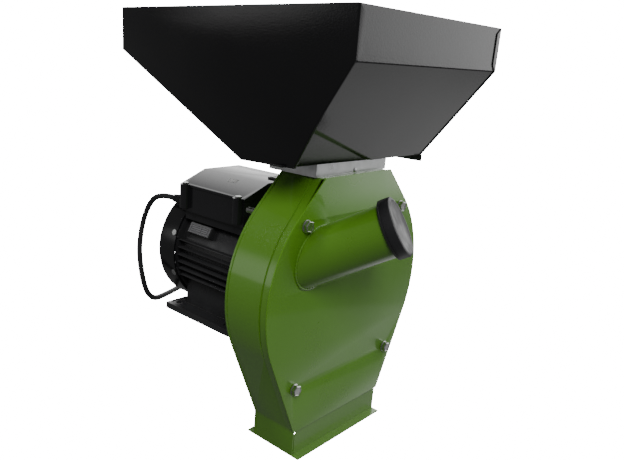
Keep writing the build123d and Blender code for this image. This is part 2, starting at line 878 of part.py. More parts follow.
def box_base():
    base = block(-box_half, box_half, frame_front, frame_back, box_skirt_top, box_rim)
    base += block(-box_skirt_half, box_skirt_half, frame_front + 2, frame_back - 2, box_low, box_skirt_top)
    floor = frame_top + box_wall
    base -= block(-box_half + box_wall, box_half - box_wall, frame_front + box_wall, frame_back - box_wall,
                  floor, box_rim + 1)
    for x, y in boss_places():
        base += rod_z(boss_r, box_skirt_top + 4, box_rim, x, y)
    for x, y in boss_places():
        base -= rod_z(box_screw_r, box_rim - box_screw_deep, box_rim + 1, x, y)
    return base - rod_y(frame_r, frame_front - 5, frame_back + 5)


def roof_view(inset):
    edge = box_half + lid_proud - inset
    slope_foot = box_rim + lid_edge
    half = box_top_half - inset * 0.4
    top = box_top - inset
    right = [(edge, slope_foot), (half, top)]
    base = box_rim if inset == 0 else box_rim - 1
    return [(-edge, base), (edge, base)] + right + [(-half, top), (-edge, slope_foot)]


def box_lid():
    front = frame_front - lid_proud
    back = frame_back + lid_proud
    cover = prism_y(roof_view(0), front, back)
    cover -= prism_y(roof_view(box_wall), front + box_wall, back - box_wall)
    for x, y in boss_places():
        cover += rod_z(boss_r, box_rim, ear_top, x, y)
    for x, y in boss_places():
        cover -= rod_z(box_screw_r, box_rim - 1, ear_top, x, y)
        cover -= rod_z(box_screw_head_r + 0.4, ear_top, box_top, x, y)
    body_half_x = bezel_long / 2 - 1
    body_half_y = bezel_wide / 2 - 1
    return cover - block(switch_x - body_half_x, switch_x + body_half_x, switch_y - body_half_y,
                         switch_y + body_half_y, box_top - 6, box_top + 1)


def box_screws():
    screws = []
    for x, y in boss_places():
        head = rod_z(box_screw_head_r, ear_top, ear_top + box_screw_head, x, y)
        screws.append(head + rod_z(box_screw_r, box_rim - box_screw_deep, ear_top, x, y))
    return screws


def capacitor():
    front = frame_front + 14
    return rod_y(capacitor_r, front, front + capacitor_long, capacitor_x, box_rim - 2)


def terminal_block():
    floor = frame_top + box_wall
    return block(block_x, block_x + block_long, -block_wide / 2, block_wide / 2, floor, floor + block_high)


def switch_body():
    half_x = bezel_long / 2
    half_y = bezel_wide / 2
    body = block(switch_x - half_x, switch_x + half_x, switch_y - half_y, switch_y + half_y,
                 bezel_z, bezel_z + bezel_high)
    body += block(switch_x - half_x + 1, switch_x + half_x - 1, switch_y - half_y + 1, switch_y + half_y - 1,
                  bezel_z - switch_deep, bezel_z)
    well_x = rocker_long / 2 + rocker_gap
    well_y = rocker_wide / 2 + rocker_gap
    return body - block(switch_x - well_x, switch_x + well_x, switch_y - well_y, switch_y + well_y,
                        bezel_z - rocker_well, bezel_z + bezel_high + 1)


def switch_rocker():
    half = rocker_long / 2
    view = [(-half, -rocker_low), (half, -rocker_low), (half, rocker_ends), (0, rocker_middle),
            (-half, rocker_ends)]
    rocker = prism_y(view, -rocker_wide / 2, rocker_wide / 2)
    rocker += rod_y(pivot_r, -rocker_wide / 2 - pivot_proud, rocker_wide / 2 + pivot_proud, 0, 0)
    return Pos(switch_x, switch_y, bezel_z) * Rot(0, -rocker_tilt, 0) * rocker


def cord_gland():
    nut_back = frame_back + gland_nut
    gland = hex_y(gland_across, frame_back, nut_back, gland_x, gland_z)
    return gland + cone_y(gland_root_r, gland_tip_r, nut_back, gland_tip, gland_x, gland_z)


# ---- lead, coil and plug ----
def bend_radii(route):
    radii = []
    for before, corner, after in zip(route, route[1:], route[2:]):
        first = Vector(*corner) - Vector(*before)
        second = Vector(*after) - Vector(*corner)
        turn = math.radians(first.get_angle(second))
        radii.append(0.45 * min(first.length, second.length) / math.tan(turn / 2))
    return radii


def cord_tube():
    radii = bend_radii(lead_route)
    path = FilletPolyline(*lead_route, radius=radii)
    start = Vector(*lead_route[1]) - Vector(*lead_route[0])
    section = Plane(origin=lead_route[0], z_dir=start) * Circle(lead_r)
    tube = sweep(section, path=path)
    print("lead bends", [round(radius) for radius in radii], "length", round(path.length))
    print("lead volume against section times length", tube.volume / (math.pi * lead_r ** 2 * path.length))
    return tube


def cord_coil():
    inside = rod_z(coil_r - coil_half, -1, coil_high + 1, coil_x, coil_y)
    return rod_z(coil_r + coil_half, 0, coil_high, coil_x, coil_y) - inside


def lead_out():
    """x and z of the straight end of the lead, which leaves the coil's upper outer turn."""
    return coil_x + coil_r + coil_half - lead_r, coil_high - lead_r


def cord_tail():
    x, z = lead_out()
    tail = rod_y(lead_r, coil_y, plug_front, x, z)
    return (tail - rod_z(coil_r + coil_half, -1, coil_high + 1, coil_x, coil_y)).solids().sort_by(Axis.Y)[-1]


def plug_body():
    x, z = lead_out()
    neck = Plane(origin=(x, plug_front, z), z_dir=(0, 1, 0)) * Circle(plug_neck_r)
    root = Plane(origin=(x, plug_front + plug_neck, plug_r), z_dir=(0, 1, 0)) * Circle(plug_r - 1)
    sleeve = loft([neck, root])
    return sleeve + rod_y(plug_r, plug_front + plug_neck, plug_front + plug_neck + plug_long, x, plug_r)


def plug_pins():
    x = lead_out()[0]
    back = plug_front + plug_neck + plug_long
    return [rod_y(pin_thick / 2, back, back + pin_long, x + side * pin_apart / 2, plug_r) for side in (-1, 1)]


nodes = {
    "casing_wall_left": lambda: casing_wall(-1),
    "casing_wall_right": lambda: casing_wall(1),
    "casing_top": casing_top,
    "casing_back_plate": casing_back_plate,
    "spout_front": spout_front,
    "lid": lid,
    "feed_tube": feed_tube,
    "tube_cap": tube_cap,
    "lid_bolts": lid_bolts,
    "lid_washers": lid_washers,
    "lid_nuts": lid_nuts,
    "sieve": sieve,
    "throat_front": throat_front_wall,
    "throat_back": throat_back_bars,
    "gate_rail_left": lambda: gate_rail(-1),
    "gate_rail_right": lambda: gate_rail(1),
    "slide_gate": gate,
    "hopper_left": lambda: hopper_side(-1),
    "hopper_right": lambda: hopper_side(1),
    "hopper_front": lambda: hopper_end(front_line(), -1),
    "hopper_back": lambda: hopper_end(back_line(), 1),
    "hopper_floor": hopper_floor,
    "hopper_screws": hopper_screws,
    "motor_shaft": motor_shaft,
    "rotor_discs": rotor_discs,
    "rotor_hub": rotor_hub,
    "rotor_nut": rotor_nut,
    "hammer_pins": hammer_pins,
    "hammer_spacers": hammer_spacers,
    "hammer_1": lambda: hammer(0),
    "hammer_2": lambda: hammer(1),
    "hammer_3": lambda: hammer(2),
    "hammer_4": lambda: hammer(3),
    "flange_bolts": flange_bolts,
    "motor_front_shield": front_shield,
    "motor_housing": motor_housing,
    "motor_rear_shield": rear_shield,
    "motor_bearings": bearings,
    "stator_core": stator_core,
    "stator_windings": stator_windings,
    "rotor_core": rotor_core,
    "cooling_fan": cooling_fan,
    "fan_cowl": fan_cowl,
    "cowl_screws": cowl_screws,
    "foot_left": lambda: motor_foot(-1),
    "foot_right": lambda: motor_foot(1),
    "rating_plate": rating_plate,
    "terminal_box": box_base,
    "terminal_box_lid": box_lid,
    "box_screws": box_screws,
    "capacitor": capacitor,
    "terminal_block": terminal_block,
    "switch_body": switch_body,
    "switch_rocker": switch_rocker,
    "cord_gland": cord_gland,
    "cord_tube": cord_tube,
    "cord_coil": cord_coil,
    "cord_tail": cord_tail,
    "plug_body": plug_body,
    "plug_pins": plug_pins,
}


def as_one(shape):
    """One shape to export: lists of separate solids become a compound."""
    if isinstance(shape, (list, ShapeList)):
        return Compound(children=[solid for item in shape for solid in item.solids()])
    return shape


os.makedirs("parts", exist_ok=True)
for name, make in nodes.items():
    export_step(as_one(make()), os.path.join("parts", name + ".step"))
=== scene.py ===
import math
import bmesh
import bpy
from mathutils import Matrix, Vector


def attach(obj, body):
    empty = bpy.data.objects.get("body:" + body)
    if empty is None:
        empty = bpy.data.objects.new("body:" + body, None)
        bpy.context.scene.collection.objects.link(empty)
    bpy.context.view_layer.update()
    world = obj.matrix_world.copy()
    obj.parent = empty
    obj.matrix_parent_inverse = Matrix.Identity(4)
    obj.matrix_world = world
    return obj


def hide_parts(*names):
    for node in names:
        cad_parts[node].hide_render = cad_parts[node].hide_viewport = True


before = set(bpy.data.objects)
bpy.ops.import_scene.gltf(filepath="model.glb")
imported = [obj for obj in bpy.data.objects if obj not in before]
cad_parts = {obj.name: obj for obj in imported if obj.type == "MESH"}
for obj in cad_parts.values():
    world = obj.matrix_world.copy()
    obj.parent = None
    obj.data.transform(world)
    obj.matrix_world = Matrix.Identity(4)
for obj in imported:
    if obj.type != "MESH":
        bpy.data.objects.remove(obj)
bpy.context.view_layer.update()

mm = 0.001


# ==== Camera ====
# Stands in front of the lid, to its left and a little above the hopper's base, with a normal lens
# and a slight tilt of the head.
camera = bpy.data.objects.new("camera", bpy.data.cameras.new("camera"))
bpy.context.scene.collection.objects.link(camera)
bpy.context.scene.camera = camera
camera.data.lens = 36.33
camera.data.shift_x = 0.0615
camera.data.shift_y = 0.0229
camera_turn, camera_rise, camera_roll = math.radians(-47.47), math.radians(16.15), math.radians(3.52)
back = Vector((math.sin(camera_turn) * math.cos(camera_rise),
               -math.cos(camera_turn) * math.cos(camera_rise), math.sin(camera_rise)))
level = Vector((0, 0, 1)).cross(back).normalized()
upright = back.cross(level)
right = level * math.cos(camera_roll) + upright * math.sin(camera_roll)
top = upright * math.cos(camera_roll) - level * math.sin(camera_roll)
camera.matrix_world = Matrix((right, top, back)).transposed().to_4x4()
camera.matrix_world.translation = Vector((-498.8, -508.3, 288.2)) * mm


# ==== Mains lead ====
# Two-core rubber lead, 6.5 mm thick and round. It hangs down behind the terminal box to the bench,
# and the spare length is wound into a flat coil of two layers behind the motor.
lead_r = 3.25
lead_route = [(-52, 62, 130), (-52, 91, 130), (-52, 113, 112), (-62, 114, 82), (-79, 94, 52),
              (-79, 75, lead_r), (-38, 85, lead_r), (-14, 95, lead_r), (12, 88, lead_r), (35.1, 83, lead_r)]
coil_x, coil_y = 60, 128
outer_turn_r = 45
coil_turns = 5.25
points_per_turn = 24
steps_in, steps_out, step_long = (0.74, 1.74), (3.36, 4.36), 0.16     # in turns from the coil's start
climb_start, climb_end = 2.55, 2.72
tail_x, tail_z = coil_x + outer_turn_r, 3 * lead_r
plug_front = 158


def eased(at, start, end):
    """Goes smoothly from 0 at start to 1 at end."""
    share = min(max((at - start) / (end - start), 0), 1)
    return share * share * (3 - 2 * share)


lead_points = list(lead_route)
spline_draws_in = 0.75 + 0.25 * math.cos(2 * math.pi / points_per_turn)
for count in range(round(coil_turns * points_per_turn) + 1):
    turns = count / points_per_turn
    inward = sum(eased(turns, at, at + step_long) for at in steps_in)
    inward -= sum(eased(turns, at, at + step_long) for at in steps_out)
    radius = (outer_turn_r - 2 * lead_r * inward) / spline_draws_in
    high = lead_r + 2 * lead_r * eased(turns, climb_start, climb_end)
    angle = -math.pi / 2 + 2 * math.pi * turns
    lead_points.append((coil_x + radius * math.cos(angle), coil_y + radius * math.sin(angle), high))
lead_points += [(tail_x, plug_front - back_from_plug, tail_z) for back_from_plug in (17, 8, -2)]

lead_curve = bpy.data.curves.new("mains_lead", "CURVE")
lead_curve.dimensions = "3D"
lead_curve.bevel_depth = lead_r * mm
lead_curve.bevel_resolution = 5
lead_curve.resolution_u = 6
lead_spline = lead_curve.splines.new("NURBS")
lead_spline.points.add(len(lead_points) - 1)
for point, (x, y, z) in zip(lead_spline.points, lead_points):
    point.co = (x * mm, y * mm, z * mm, 1)
lead_spline.order_u = 3
lead_spline.use_endpoint_u = True
mains_lead = bpy.data.objects.new("mains_lead", lead_curve)
bpy.context.scene.collection.objects.link(mains_lead)


def finish(name, colour, rough, metal=0.0, patchy=0.12, patch=25, grain=0.8, depth=0.02, coat=0.0,
           coat_rough=0.05, stretch=(1, 1, 1), rough_swing=0.25, shine=0.5):
    """A surface with broad patches in its colour and roughness, and a fine grain. Sizes in mm."""
    material = bpy.data.materials.new(name)
    material.use_nodes = True
    nodes, links = material.node_tree.nodes, material.node_tree.links
    shader = nodes["Principled BSDF"]
    shader.inputs["Metallic"].default_value = metal
    shader.inputs["Coat Weight"].default_value = coat
    shader.inputs["Coat Roughness"].default_value = coat_rough
    shader.inputs["Specular IOR Level"].default_value = shine
    place = nodes.new("ShaderNodeTexCoord")
    spread = nodes.new("ShaderNodeMapping")
    spread.inputs["Scale"].default_value = stretch
    links.new(place.outputs["Object"], spread.inputs["Vector"])
    broad = nodes.new("ShaderNodeTexNoise")
    broad.inputs["Scale"].default_value = 1 / (patch * mm)
    broad.inputs["Detail"].default_value = 5
    links.new(spread.outputs["Vector"], broad.inputs["Vector"])
    tint = nodes.new("ShaderNodeMix")
    tint.data_type = "RGBA"
    tint.inputs["A"].default_value = [c * (1 - patchy) for c in colour] + [1]
    tint.inputs["B"].default_value = [min(c * (1 + patchy), 1) for c in colour] + [1]
    links.new(broad.outputs["Fac"], tint.inputs["Factor"])
    links.new(tint.outputs["Result"], shader.inputs["Base Color"])
    swing = nodes.new("ShaderNodeMapRange")
    swing.inputs["From Min"].default_value = 0.3
    swing.inputs["From Max"].default_value = 0.7
    swing.inputs["To Min"].default_value = rough * (1 - rough_swing)
    swing.inputs["To Max"].default_value = rough * (1 + rough_swing)
    links.new(broad.outputs["Fac"], swing.inputs["Value"])
    links.new(swing.outputs["Result"], shader.inputs["Roughness"])
    fine = nodes.new("ShaderNodeTexNoise")
    fine.name = "fine grain"
    fine.inputs["Scale"].default_value = 1 / (grain * mm)
    fine.inputs["Detail"].default_value = 3
    links.new(spread.outputs["Vector"], fine.inputs["Vector"])
    relief = nodes.new("ShaderNodeBump")
    relief.name = "relief"
    relief.inputs["Distance"].default_value = depth * mm
    links.new(fine.outputs["Fac"], relief.inputs["Height"])
    links.new(relief.outputs["Normal"], shader.inputs["Normal"])
    if coat:
        links.new(relief.outputs["Normal"], shader.inputs["Coat Normal"])
    return material


lead_rubber = finish("lead_rubber", (0.012, 0.012, 0.013), 0.42, patchy=0.3, patch=12, grain=0.5, depth=0.03)
mains_lead.data.materials.append(lead_rubber)
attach(mains_lead, "frame")
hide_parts("cord_tube", "cord_coil", "cord_tail")


def ringed(rings, way, steps=48):
    """Skin over a row of circles across way: each ring is its centre and radius, 0 for a point."""
    way = Vector(way).normalized()
    across = way.orthogonal().normalized()
    other = way.cross(across)
    points, faces, rows = [], [], []
    for centre, radius in rings:
        row = []
        for step in range(steps if radius > 0 else 1):
            angle = 2 * math.pi * step / steps
            arm = across * math.cos(angle) + other * math.sin(angle)
            row.append(len(points))
            points.append(Vector(centre) + arm * radius)
        rows.append(row)
    for low, high in zip(rows, rows[1:]):
        for step in range(steps):
            after = (step + 1) % steps
            corners = [low[step % len(low)], low[after % len(low)]]
            corners += [high[after % len(high)], high[step % len(high)]]
            corners = list(dict.fromkeys(corners))
            if len(corners) > 2:
                faces.append(corners)
    return points, faces


def turned(profile, start, way, steps=48):
    """Skin turned about a line from start along way, from pairs of height and radius."""
    way = Vector(way).normalized()
    return ringed([(Vector(start) + way * high, radius) for high, radius in profile], way, steps)


def piece(name, shapes, material, stands_for=(), body="frame", edge=0.0, smooth=38):
    """One object from shapes given in mm, with softened edges, riding on a body."""
    points, faces = [], []
    for shape_points, shape_faces in shapes:
        first = len(points)
        points += [Vector(point) * mm for point in shape_points]
        faces += [[first + corner for corner in face] for face in shape_faces]
    mesh = bpy.data.meshes.new(name)
    mesh.from_pydata(points, [], faces)
    mesh.validate()
    for polygon in mesh.polygons:
        polygon.use_smooth = True
    mesh.set_sharp_from_angle(angle=math.radians(smooth))
    mesh.materials.append(material)
    made = bpy.data.objects.new(name, mesh)
    bpy.context.scene.collection.objects.link(made)
    if edge:
        soften = made.modifiers.new("soft_edges", "BEVEL")
        soften.width = edge * mm
        soften.segments = 3
        soften.limit_method = "ANGLE"
        soften.angle_limit = math.radians(38)
        soften.harden_normals = True
    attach(made, body)
    if stands_for:
        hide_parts(*stands_for)
    return made


# ==== Strain relief ====
# Moulded rubber sleeve behind a hexagonal collar that clamps the lead in the box wall. Grooves let
# the sleeve bend with the lead.
gland_root = (-52, 38, 130)
sleeve_line = [(5.0, 0), (5.0, 6.4), (6.5, 6.6)]
for groove in range(5):
    at = 8 + groove * 3.0
    wide = 6.1 - groove * 0.33
    sleeve_line += [(at, wide), (at + 0.5, wide - 1.1), (at + 1.4, wide - 1.1), (at + 1.9, wide - 0.1)]
sleeve_line += [(23.2, 4.5), (24.0, 4.1), (24.0, 3.0)]
collar_line = [(0, 0), (0, 8.0), (4.2, 8.0), (5.0, 7.3), (5.0, 0)]
gland_shapes = [turned(collar_line, gland_root, (0, 1, 0), 6), turned(sleeve_line, gland_root, (0, 1, 0))]
strain_relief = piece("strain_relief", gland_shapes, lead_rubber, ["cord_gland"])


# ==== Plug ====
# Round moulded two-pin plug: a tapered, grooved grip, a body with a raised ring and two plated pins.
# It lies beside the coil.
plug_z = 15
plug_back = plug_front + 42
grip_long = 20
grip_rings = [(0, tail_z, 0), (0, tail_z, 4.6), (1, 9.8, 5.0)]       # along the plug, height, radius
for groove in range(5):
    at = 3 + groove * 3.4
    centre_z = tail_z + (plug_z - tail_z) * at / grip_long
    wide = 5 + 9 * (at / grip_long) ** 1.3
    grip_rings += [(at, centre_z, wide), (at + 0.6, centre_z, wide - 0.9),
                   (at + 1.9, centre_z + 0.3, wide - 0.6), (at + 2.5, centre_z + 0.4, wide + 0.5)]
grip_rings += [(along, plug_z, wide) for along, wide in
               ((20, 14.2), (21.5, 15), (28, 15), (28.4, 14.5), (29.6, 14.5), (30, 15), (41, 15),
                (41.8, 14.4), (42, 13.6), (42, 0))]
plug_rings = [((tail_x, plug_front + along, centre_z), wide) for along, centre_z, wide in grip_rings]
plug_rubber = finish("plug_rubber", (0.013, 0.013, 0.014), 0.5, patchy=0.25, patch=10, grain=0.35, depth=0.02)
plug = piece("plug", [ringed(plug_rings, (0, 1, 0))], plug_rubber, ["plug_body"])
pin_plating = finish("pin_plating", (0.72, 0.68, 0.58), 0.28, metal=1.0, patchy=0.08, patch=6, grain=0.2,
                     depth=0.004, stretch=(1, 0.15, 1))
pin_line = [(0, 0), (0, 2.4), (16.5, 2.4), (18.2, 1.7), (19, 0.8), (19, 0)]
pins_apart = 19
pin_shapes = [turned(pin_line, (tail_x + side * pins_apart / 2, plug_back, plug_z), (0, 1, 0), 24)
              for side in (-1, 1)]
pins = piece("plug_prongs", pin_shapes, pin_plating, ["plug_pins"])


# ==== Studio ====
# A pale bench that the feet stand on, with the spout hanging over its front edge, and a pale floor
# below. A broad soft lamp in front and a smaller one behind give the light; soft glows to the right,
# in front, below, overhead and from a window on the left are what the gloss paint reflects.
def pale_surface(name, points, faces):
    mesh = bpy.data.meshes.new(name)
    mesh.from_pydata(points, [], faces)
    surface = bpy.data.objects.new(name, mesh)
    bpy.context.scene.collection.objects.link(surface)
    surface.data.materials.append(studio_white)
    surface.visible_glossy = False
    surface.visible_diffuse = False
    return surface


studio_white = finish("studio_white", (0.93, 0.93, 0.93), 0.9, patchy=0.01, patch=300, grain=20, depth=0.01)
white_glow = 20.0
white_shader = studio_white.node_tree.nodes["Principled BSDF"]
white_shader.inputs["Emission Color"].default_value = (1, 1, 1, 1)
white_shader.inputs["Emission Strength"].default_value = white_glow
edge_y, edge_round, under_feet, far = -0.086, 0.02, 0.00005, 6.0
floor_z = -0.0965
bench_line = [(far, 0.0)]
for step in range(9):
    angle = step * math.pi / 16
    bench_line.append((edge_y + edge_round * (1 - math.sin(angle)),
                       -edge_round * (1 - math.cos(angle)) - under_feet))
bench_line += [(edge_y, floor_z + 0.0005), (edge_y - 0.05, floor_z), (-far, floor_z)]
bench_points = [(x, y, z) for x in (-far, far) for y, z in bench_line]
bench_count = len(bench_line)
bench_faces = [(i, i + 1, i + 1 + bench_count, i + bench_count) for i in range(bench_count - 1)]
pale_surface("bench_and_floor", bench_points, bench_faces)

world = bpy.data.worlds.new("studio")
bpy.context.scene.world = world
world.use_nodes = True
sky_nodes, sky_links = world.node_tree.nodes, world.node_tree.links
sky = sky_nodes["Background"]
seen = sky_nodes.new("ShaderNodeLightPath")
toward = sky_nodes.new("ShaderNodeTexCoord")


def sky_value(kind, first, second, third=None):
    node = sky_nodes.new("ShaderNodeMath")
    node.operation = kind
    for socket, value in zip(node.inputs, (first, second, third)):
        if value is None:
            continue
        if isinstance(value, (int, float)):
            socket.default_value = value
        else:
            sky_links.new(value, socket)
    return node.outputs[0]


def soft_wall(direction, inner, outer, strength):
    """Glow towards one direction, full within inner degrees of it and gone past outer degrees."""
    facing = sky_nodes.new("ShaderNodeVectorMath")
    facing.operation = "DOT_PRODUCT"
    facing.inputs[1].default_value = Vector(direction).normalized()
    sky_links.new(toward.outputs["Generated"], facing.inputs[0])
    fade = sky_nodes.new("ShaderNodeMapRange")
    fade.interpolation_type = "SMOOTHSTEP"
    fade.inputs["From Min"].default_value = math.cos(math.radians(outer))
    fade.inputs["From Max"].default_value = math.cos(math.radians(inner))
    fade.inputs["To Max"].default_value = strength
    sky_links.new(facing.outputs["Value"], fade.inputs["Value"])
    return fade.outputs["Result"]


heights = sky_nodes.new("ShaderNodeSeparateXYZ")
sky_links.new(toward.outputs["Generated"], heights.inputs[0])


def cut_at_height(glow, gone, full):
    """The glow, let through only beyond a height of view that fades in from gone to full."""
    fade = sky_nodes.new("ShaderNodeMapRange")
    fade.interpolation_type = "SMOOTHSTEP"
    fade.inputs["From Min"].default_value = gone
    fade.inputs["From Max"].default_value = full
    sky_links.new(heights.outputs["Z"], fade.inputs["Value"])
    return sky_value("MULTIPLY", glow, fade.outputs["Result"])


fill_glow = 0.12
right_wall = cut_at_height(soft_wall((0.93, 0.10, 0.25), 38, 72, 1.9), -0.16, -0.04)
floor_in_front = cut_at_height(soft_wall((0.62, -0.62, -0.48), 15, 45, 0.26), -0.375, -0.395)
floor_below = soft_wall((0.72, 0.05, -0.70), 15, 34, 0.42)
overhead = soft_wall((-0.1, -0.2, 1), 20, 50, 0.2)
left_window = cut_at_height(soft_wall((-0.75, 0.66, 0.12), 3, 15, 1.0), -0.02, 0.03)
first_pair = sky_value("ADD", right_wall, floor_in_front)
second_pair = sky_value("ADD", floor_below, overhead)
glow = sky_value("ADD", sky_value("ADD", first_pair, second_pair), left_window)
glow = sky_value("ADD", glow, fill_glow)
camera_ray = seen.outputs["Is Camera Ray"]
backdrop = sky_value("MULTIPLY", camera_ray, white_glow)
lighting = sky_value("MULTIPLY", sky_value("SUBTRACT", 1.0, camera_ray), glow)
sky_links.new(sky_value("ADD", backdrop, lighting), sky.inputs["Strength"])
sky.inputs["Color"].default_value = (1, 1, 1, 1)


def soft_lamp(name, position, target, size, power):
    lamp = bpy.data.lights.new(name, "AREA")
    lamp.shape = "DISK"
    lamp.size = size
    lamp.energy = power
    holder = bpy.data.objects.new(name, lamp)
    bpy.context.scene.collection.objects.link(holder)
    holder.location = position
    holder.rotation_euler = (Vector(target) - Vector(position)).to_track_quat("-Z", "Y").to_euler()
    return holder


front_lamp = soft_lamp("front_lamp", (-1.2, -1.3, 1.5), (0, -0.05, 0.12), 1.1, 38)
front_lamp.visible_glossy = False
rear_lamp = soft_lamp("rear_lamp", (-0.9, 0.9, 1.1), (0, 0, 0.12), 0.5, 9)
rear_lamp.visible_glossy = False


def paint(material, *names):
    """Gives CAD pieces that keep their own shape this material."""
    for name in names:
        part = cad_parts[name]
        if not part.material_slots:
            part.data.materials.append(material)
        for place in part.material_slots:
            place.material = material


def cad_shape(name):
    """A CAD piece's own shape in mm, its flat faces joined, ready for softened edges."""
    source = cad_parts[name].data
    work = bmesh.new()
    corners = [work.verts.new(corner.co / mm) for corner in source.vertices]
    for polygon in source.polygons:
        try:
            work.faces.new([corners[i] for i in polygon.vertices])
        except ValueError:
            continue
    bmesh.ops.remove_doubles(work, verts=work.verts, dist=0.002)
    bmesh.ops.dissolve_limit(work, angle_limit=math.radians(0.6), verts=work.verts, edges=work.edges)
    work.verts.index_update()
    points = [corner.co.copy() for corner in work.verts]
    faces = [[corner.index for corner in face.verts] for face in work.faces]
    work.free()
    return points, faces


# ==== Drum casing ====
# Sheet steel 1.5 mm thick, rolled round the hammer circle and folded at the top and at the spout,
# welded to a 3 mm back plate and sprayed with gloss green enamel.
green_enamel = finish("green_enamel", (0.072, 0.185, 0.012), 0.32, patchy=0.10, patch=60, grain=2.2,
                      depth=0.010, coat=0.75, coat_rough=0.04)
axis_z = 71
top_z = 188.5
spout_z = -94
shoulder_z = -65.69
front_y, plate_y = -157.5, -106
wall_sheet = 1.5
drum_r, drum_flat = 120, 117.5
spout_half, lean = 70.5, 24


def casing_line(grow=0.0, bottom=spout_z, arc_steps=56):
    """Outer line of the casing's right side, from the flat top down, grown outward by grow."""
    radius = drum_r + grow
    flat = drum_flat + grow
    corner = (radius - flat * math.sin(math.radians(45))) / math.cos(math.radians(45))
    line = [(corner, axis_z + flat)]
    for step in range(arc_steps + 1):
        angle = math.radians(45 - (45 + lean) * step / arc_steps)
        line.append((radius * math.cos(angle), axis_z + radius * math.sin(angle)))
    half = spout_half + grow
    shoulder = axis_z - (radius - half * math.cos(math.radians(lean))) / math.sin(math.radians(lean))
    return line + [(half, max(shoulder, bottom)), (half, bottom)]


def rounded(line, bend):
    """The line with its sharp corners rounded off in four steps, each bend mm back from the corner."""
    smooth_line = [line[0]]
    for before, corner, after in zip(line, line[1:], line[2:]):
        first = Vector(before) - Vector(corner)
        second = Vector(after) - Vector(corner)
        turn = math.pi - first.angle(second, math.pi)
        if turn < math.radians(8) or min(first.length, second.length) < 2.2 * bend:
            smooth_line.append(corner)
            continue
        start = Vector(corner) + first.normalized() * bend
        end = Vector(corner) + second.normalized() * bend
        for step in range(5):
            share = step / 4
            middle = Vector(corner) * 2 * share * (1 - share)
            smooth_line.append(tuple(start * (1 - share) ** 2 + middle + end * share ** 2))
    return smooth_line + [line[-1]]


def slit_y(z):
    """Front edge of the wall; it stands back from the lid in a narrow wedge near the top."""
    wedge_high, wedge_wide = 26, 5.0
    return front_y + wedge_wide * max(0, (z - (top_z - wedge_high)) / wedge_high)


def joint_depth(z):
    """How deep the joint line behind the lid's rim is pressed into the wall; it dies out downward."""
    full_depth, fades_over = 1.1, 60
    return full_depth * min(max(z / fades_over, 0), 1)


def wall_shape(side):
    """Casing wall as a closed skin, 1.5 mm thick, with a joint line behind its front edge."""
    line = rounded(casing_line(), 3.0)
    line = [(line[0][0] - 0.01, line[0][1])] + line[1:]
    inner = []
    for number, (x, z) in enumerate(line):
        before = Vector(line[max(number - 1, 0)])
        after = Vector(line[min(number + 1, len(line) - 1)])
        along = (after - before).normalized()
        inner.append((x + along.y * wall_sheet, z - along.x * wall_sheet))
    points, faces = [], []
    for (x, z), (u, w) in zip(line, inner):
        share = joint_depth(z) / wall_sheet
        sunk_x, sunk_z = x + (u - x) * share, z + (w - z) * share
        joint_y = slit_y(z) + 7.5
        points += [(side * x, slit_y(z), z), (side * x, joint_y - 0.2, z), (side * sunk_x, joint_y, sunk_z),
                   (side * sunk_x, joint_y + 1.7, sunk_z), (side * x, joint_y + 2.0, z),
                   (side * x, plate_y, z), (side * u, plate_y, w), (side * u, slit_y(z), w)]
    ring = 8
    for number in range(len(line) - 1):
        a, b = ring * number, ring * (number + 1)
        for corner in range(ring):
            after = (corner + 1) % ring
            face = [a + corner, a + after, b + after, b + corner]
            faces.append(face if side > 0 else face[::-1])
    top_end = list(range(ring))
    low_end = [ring * (len(line) - 1) + corner for corner in range(ring)]
    faces.append(top_end[::-1] if side > 0 else top_end)
    faces.append(low_end if side > 0 else low_end[::-1])
    return points, faces


for side, word in ((-1, "left"), (1, "right")):
    piece("drum_wall_" + word, [wall_shape(side)], green_enamel, ["casing_wall_" + word],
          edge=0.3)
piece("drum_top", [cad_shape("casing_top")], green_enamel, ["casing_top"], edge=0.25)
piece("drum_back", [cad_shape("casing_back_plate")], green_enamel, ["casing_back_plate"],
      edge=0.4)
piece("spout_wall", [cad_shape("spout_front")], green_enamel, ["spout_front"], edge=0.25)


def swept(line, widths, closed=False, steps=10):
    """Round bead along a line of points, each with its own radius."""
    points, faces = [], []
    count = len(line)
    for number, (centre, wide) in enumerate(zip(line, widths)):
        before = Vector(line[(number - 1) % count if closed else max(number - 1, 0)])
        after = Vector(line[(number + 1) % count if closed else min(number + 1, count - 1)])
        along = (after - before).normalized()
        side_way = along.cross(Vector((0.13, 0.31, 0.94))).normalized()
        up_way = along.cross(side_way)
        for step in range(steps):
            angle = 2 * math.pi * step / steps
            points.append(Vector(centre) + (side_way * math.cos(angle) + up_way * math.sin(angle)) * wide)
    for number in range(count if closed else count - 1):
        here, ahead = number * steps, (number + 1) % count * steps
        for step in range(steps):
            after = (step + 1) % steps
            faces.append([here + step, here + after, ahead + after, ahead + step])
    if not closed:
        faces += [list(range(steps))[::-1], [(count - 1) * steps + step for step in range(steps)]]
    return points, faces


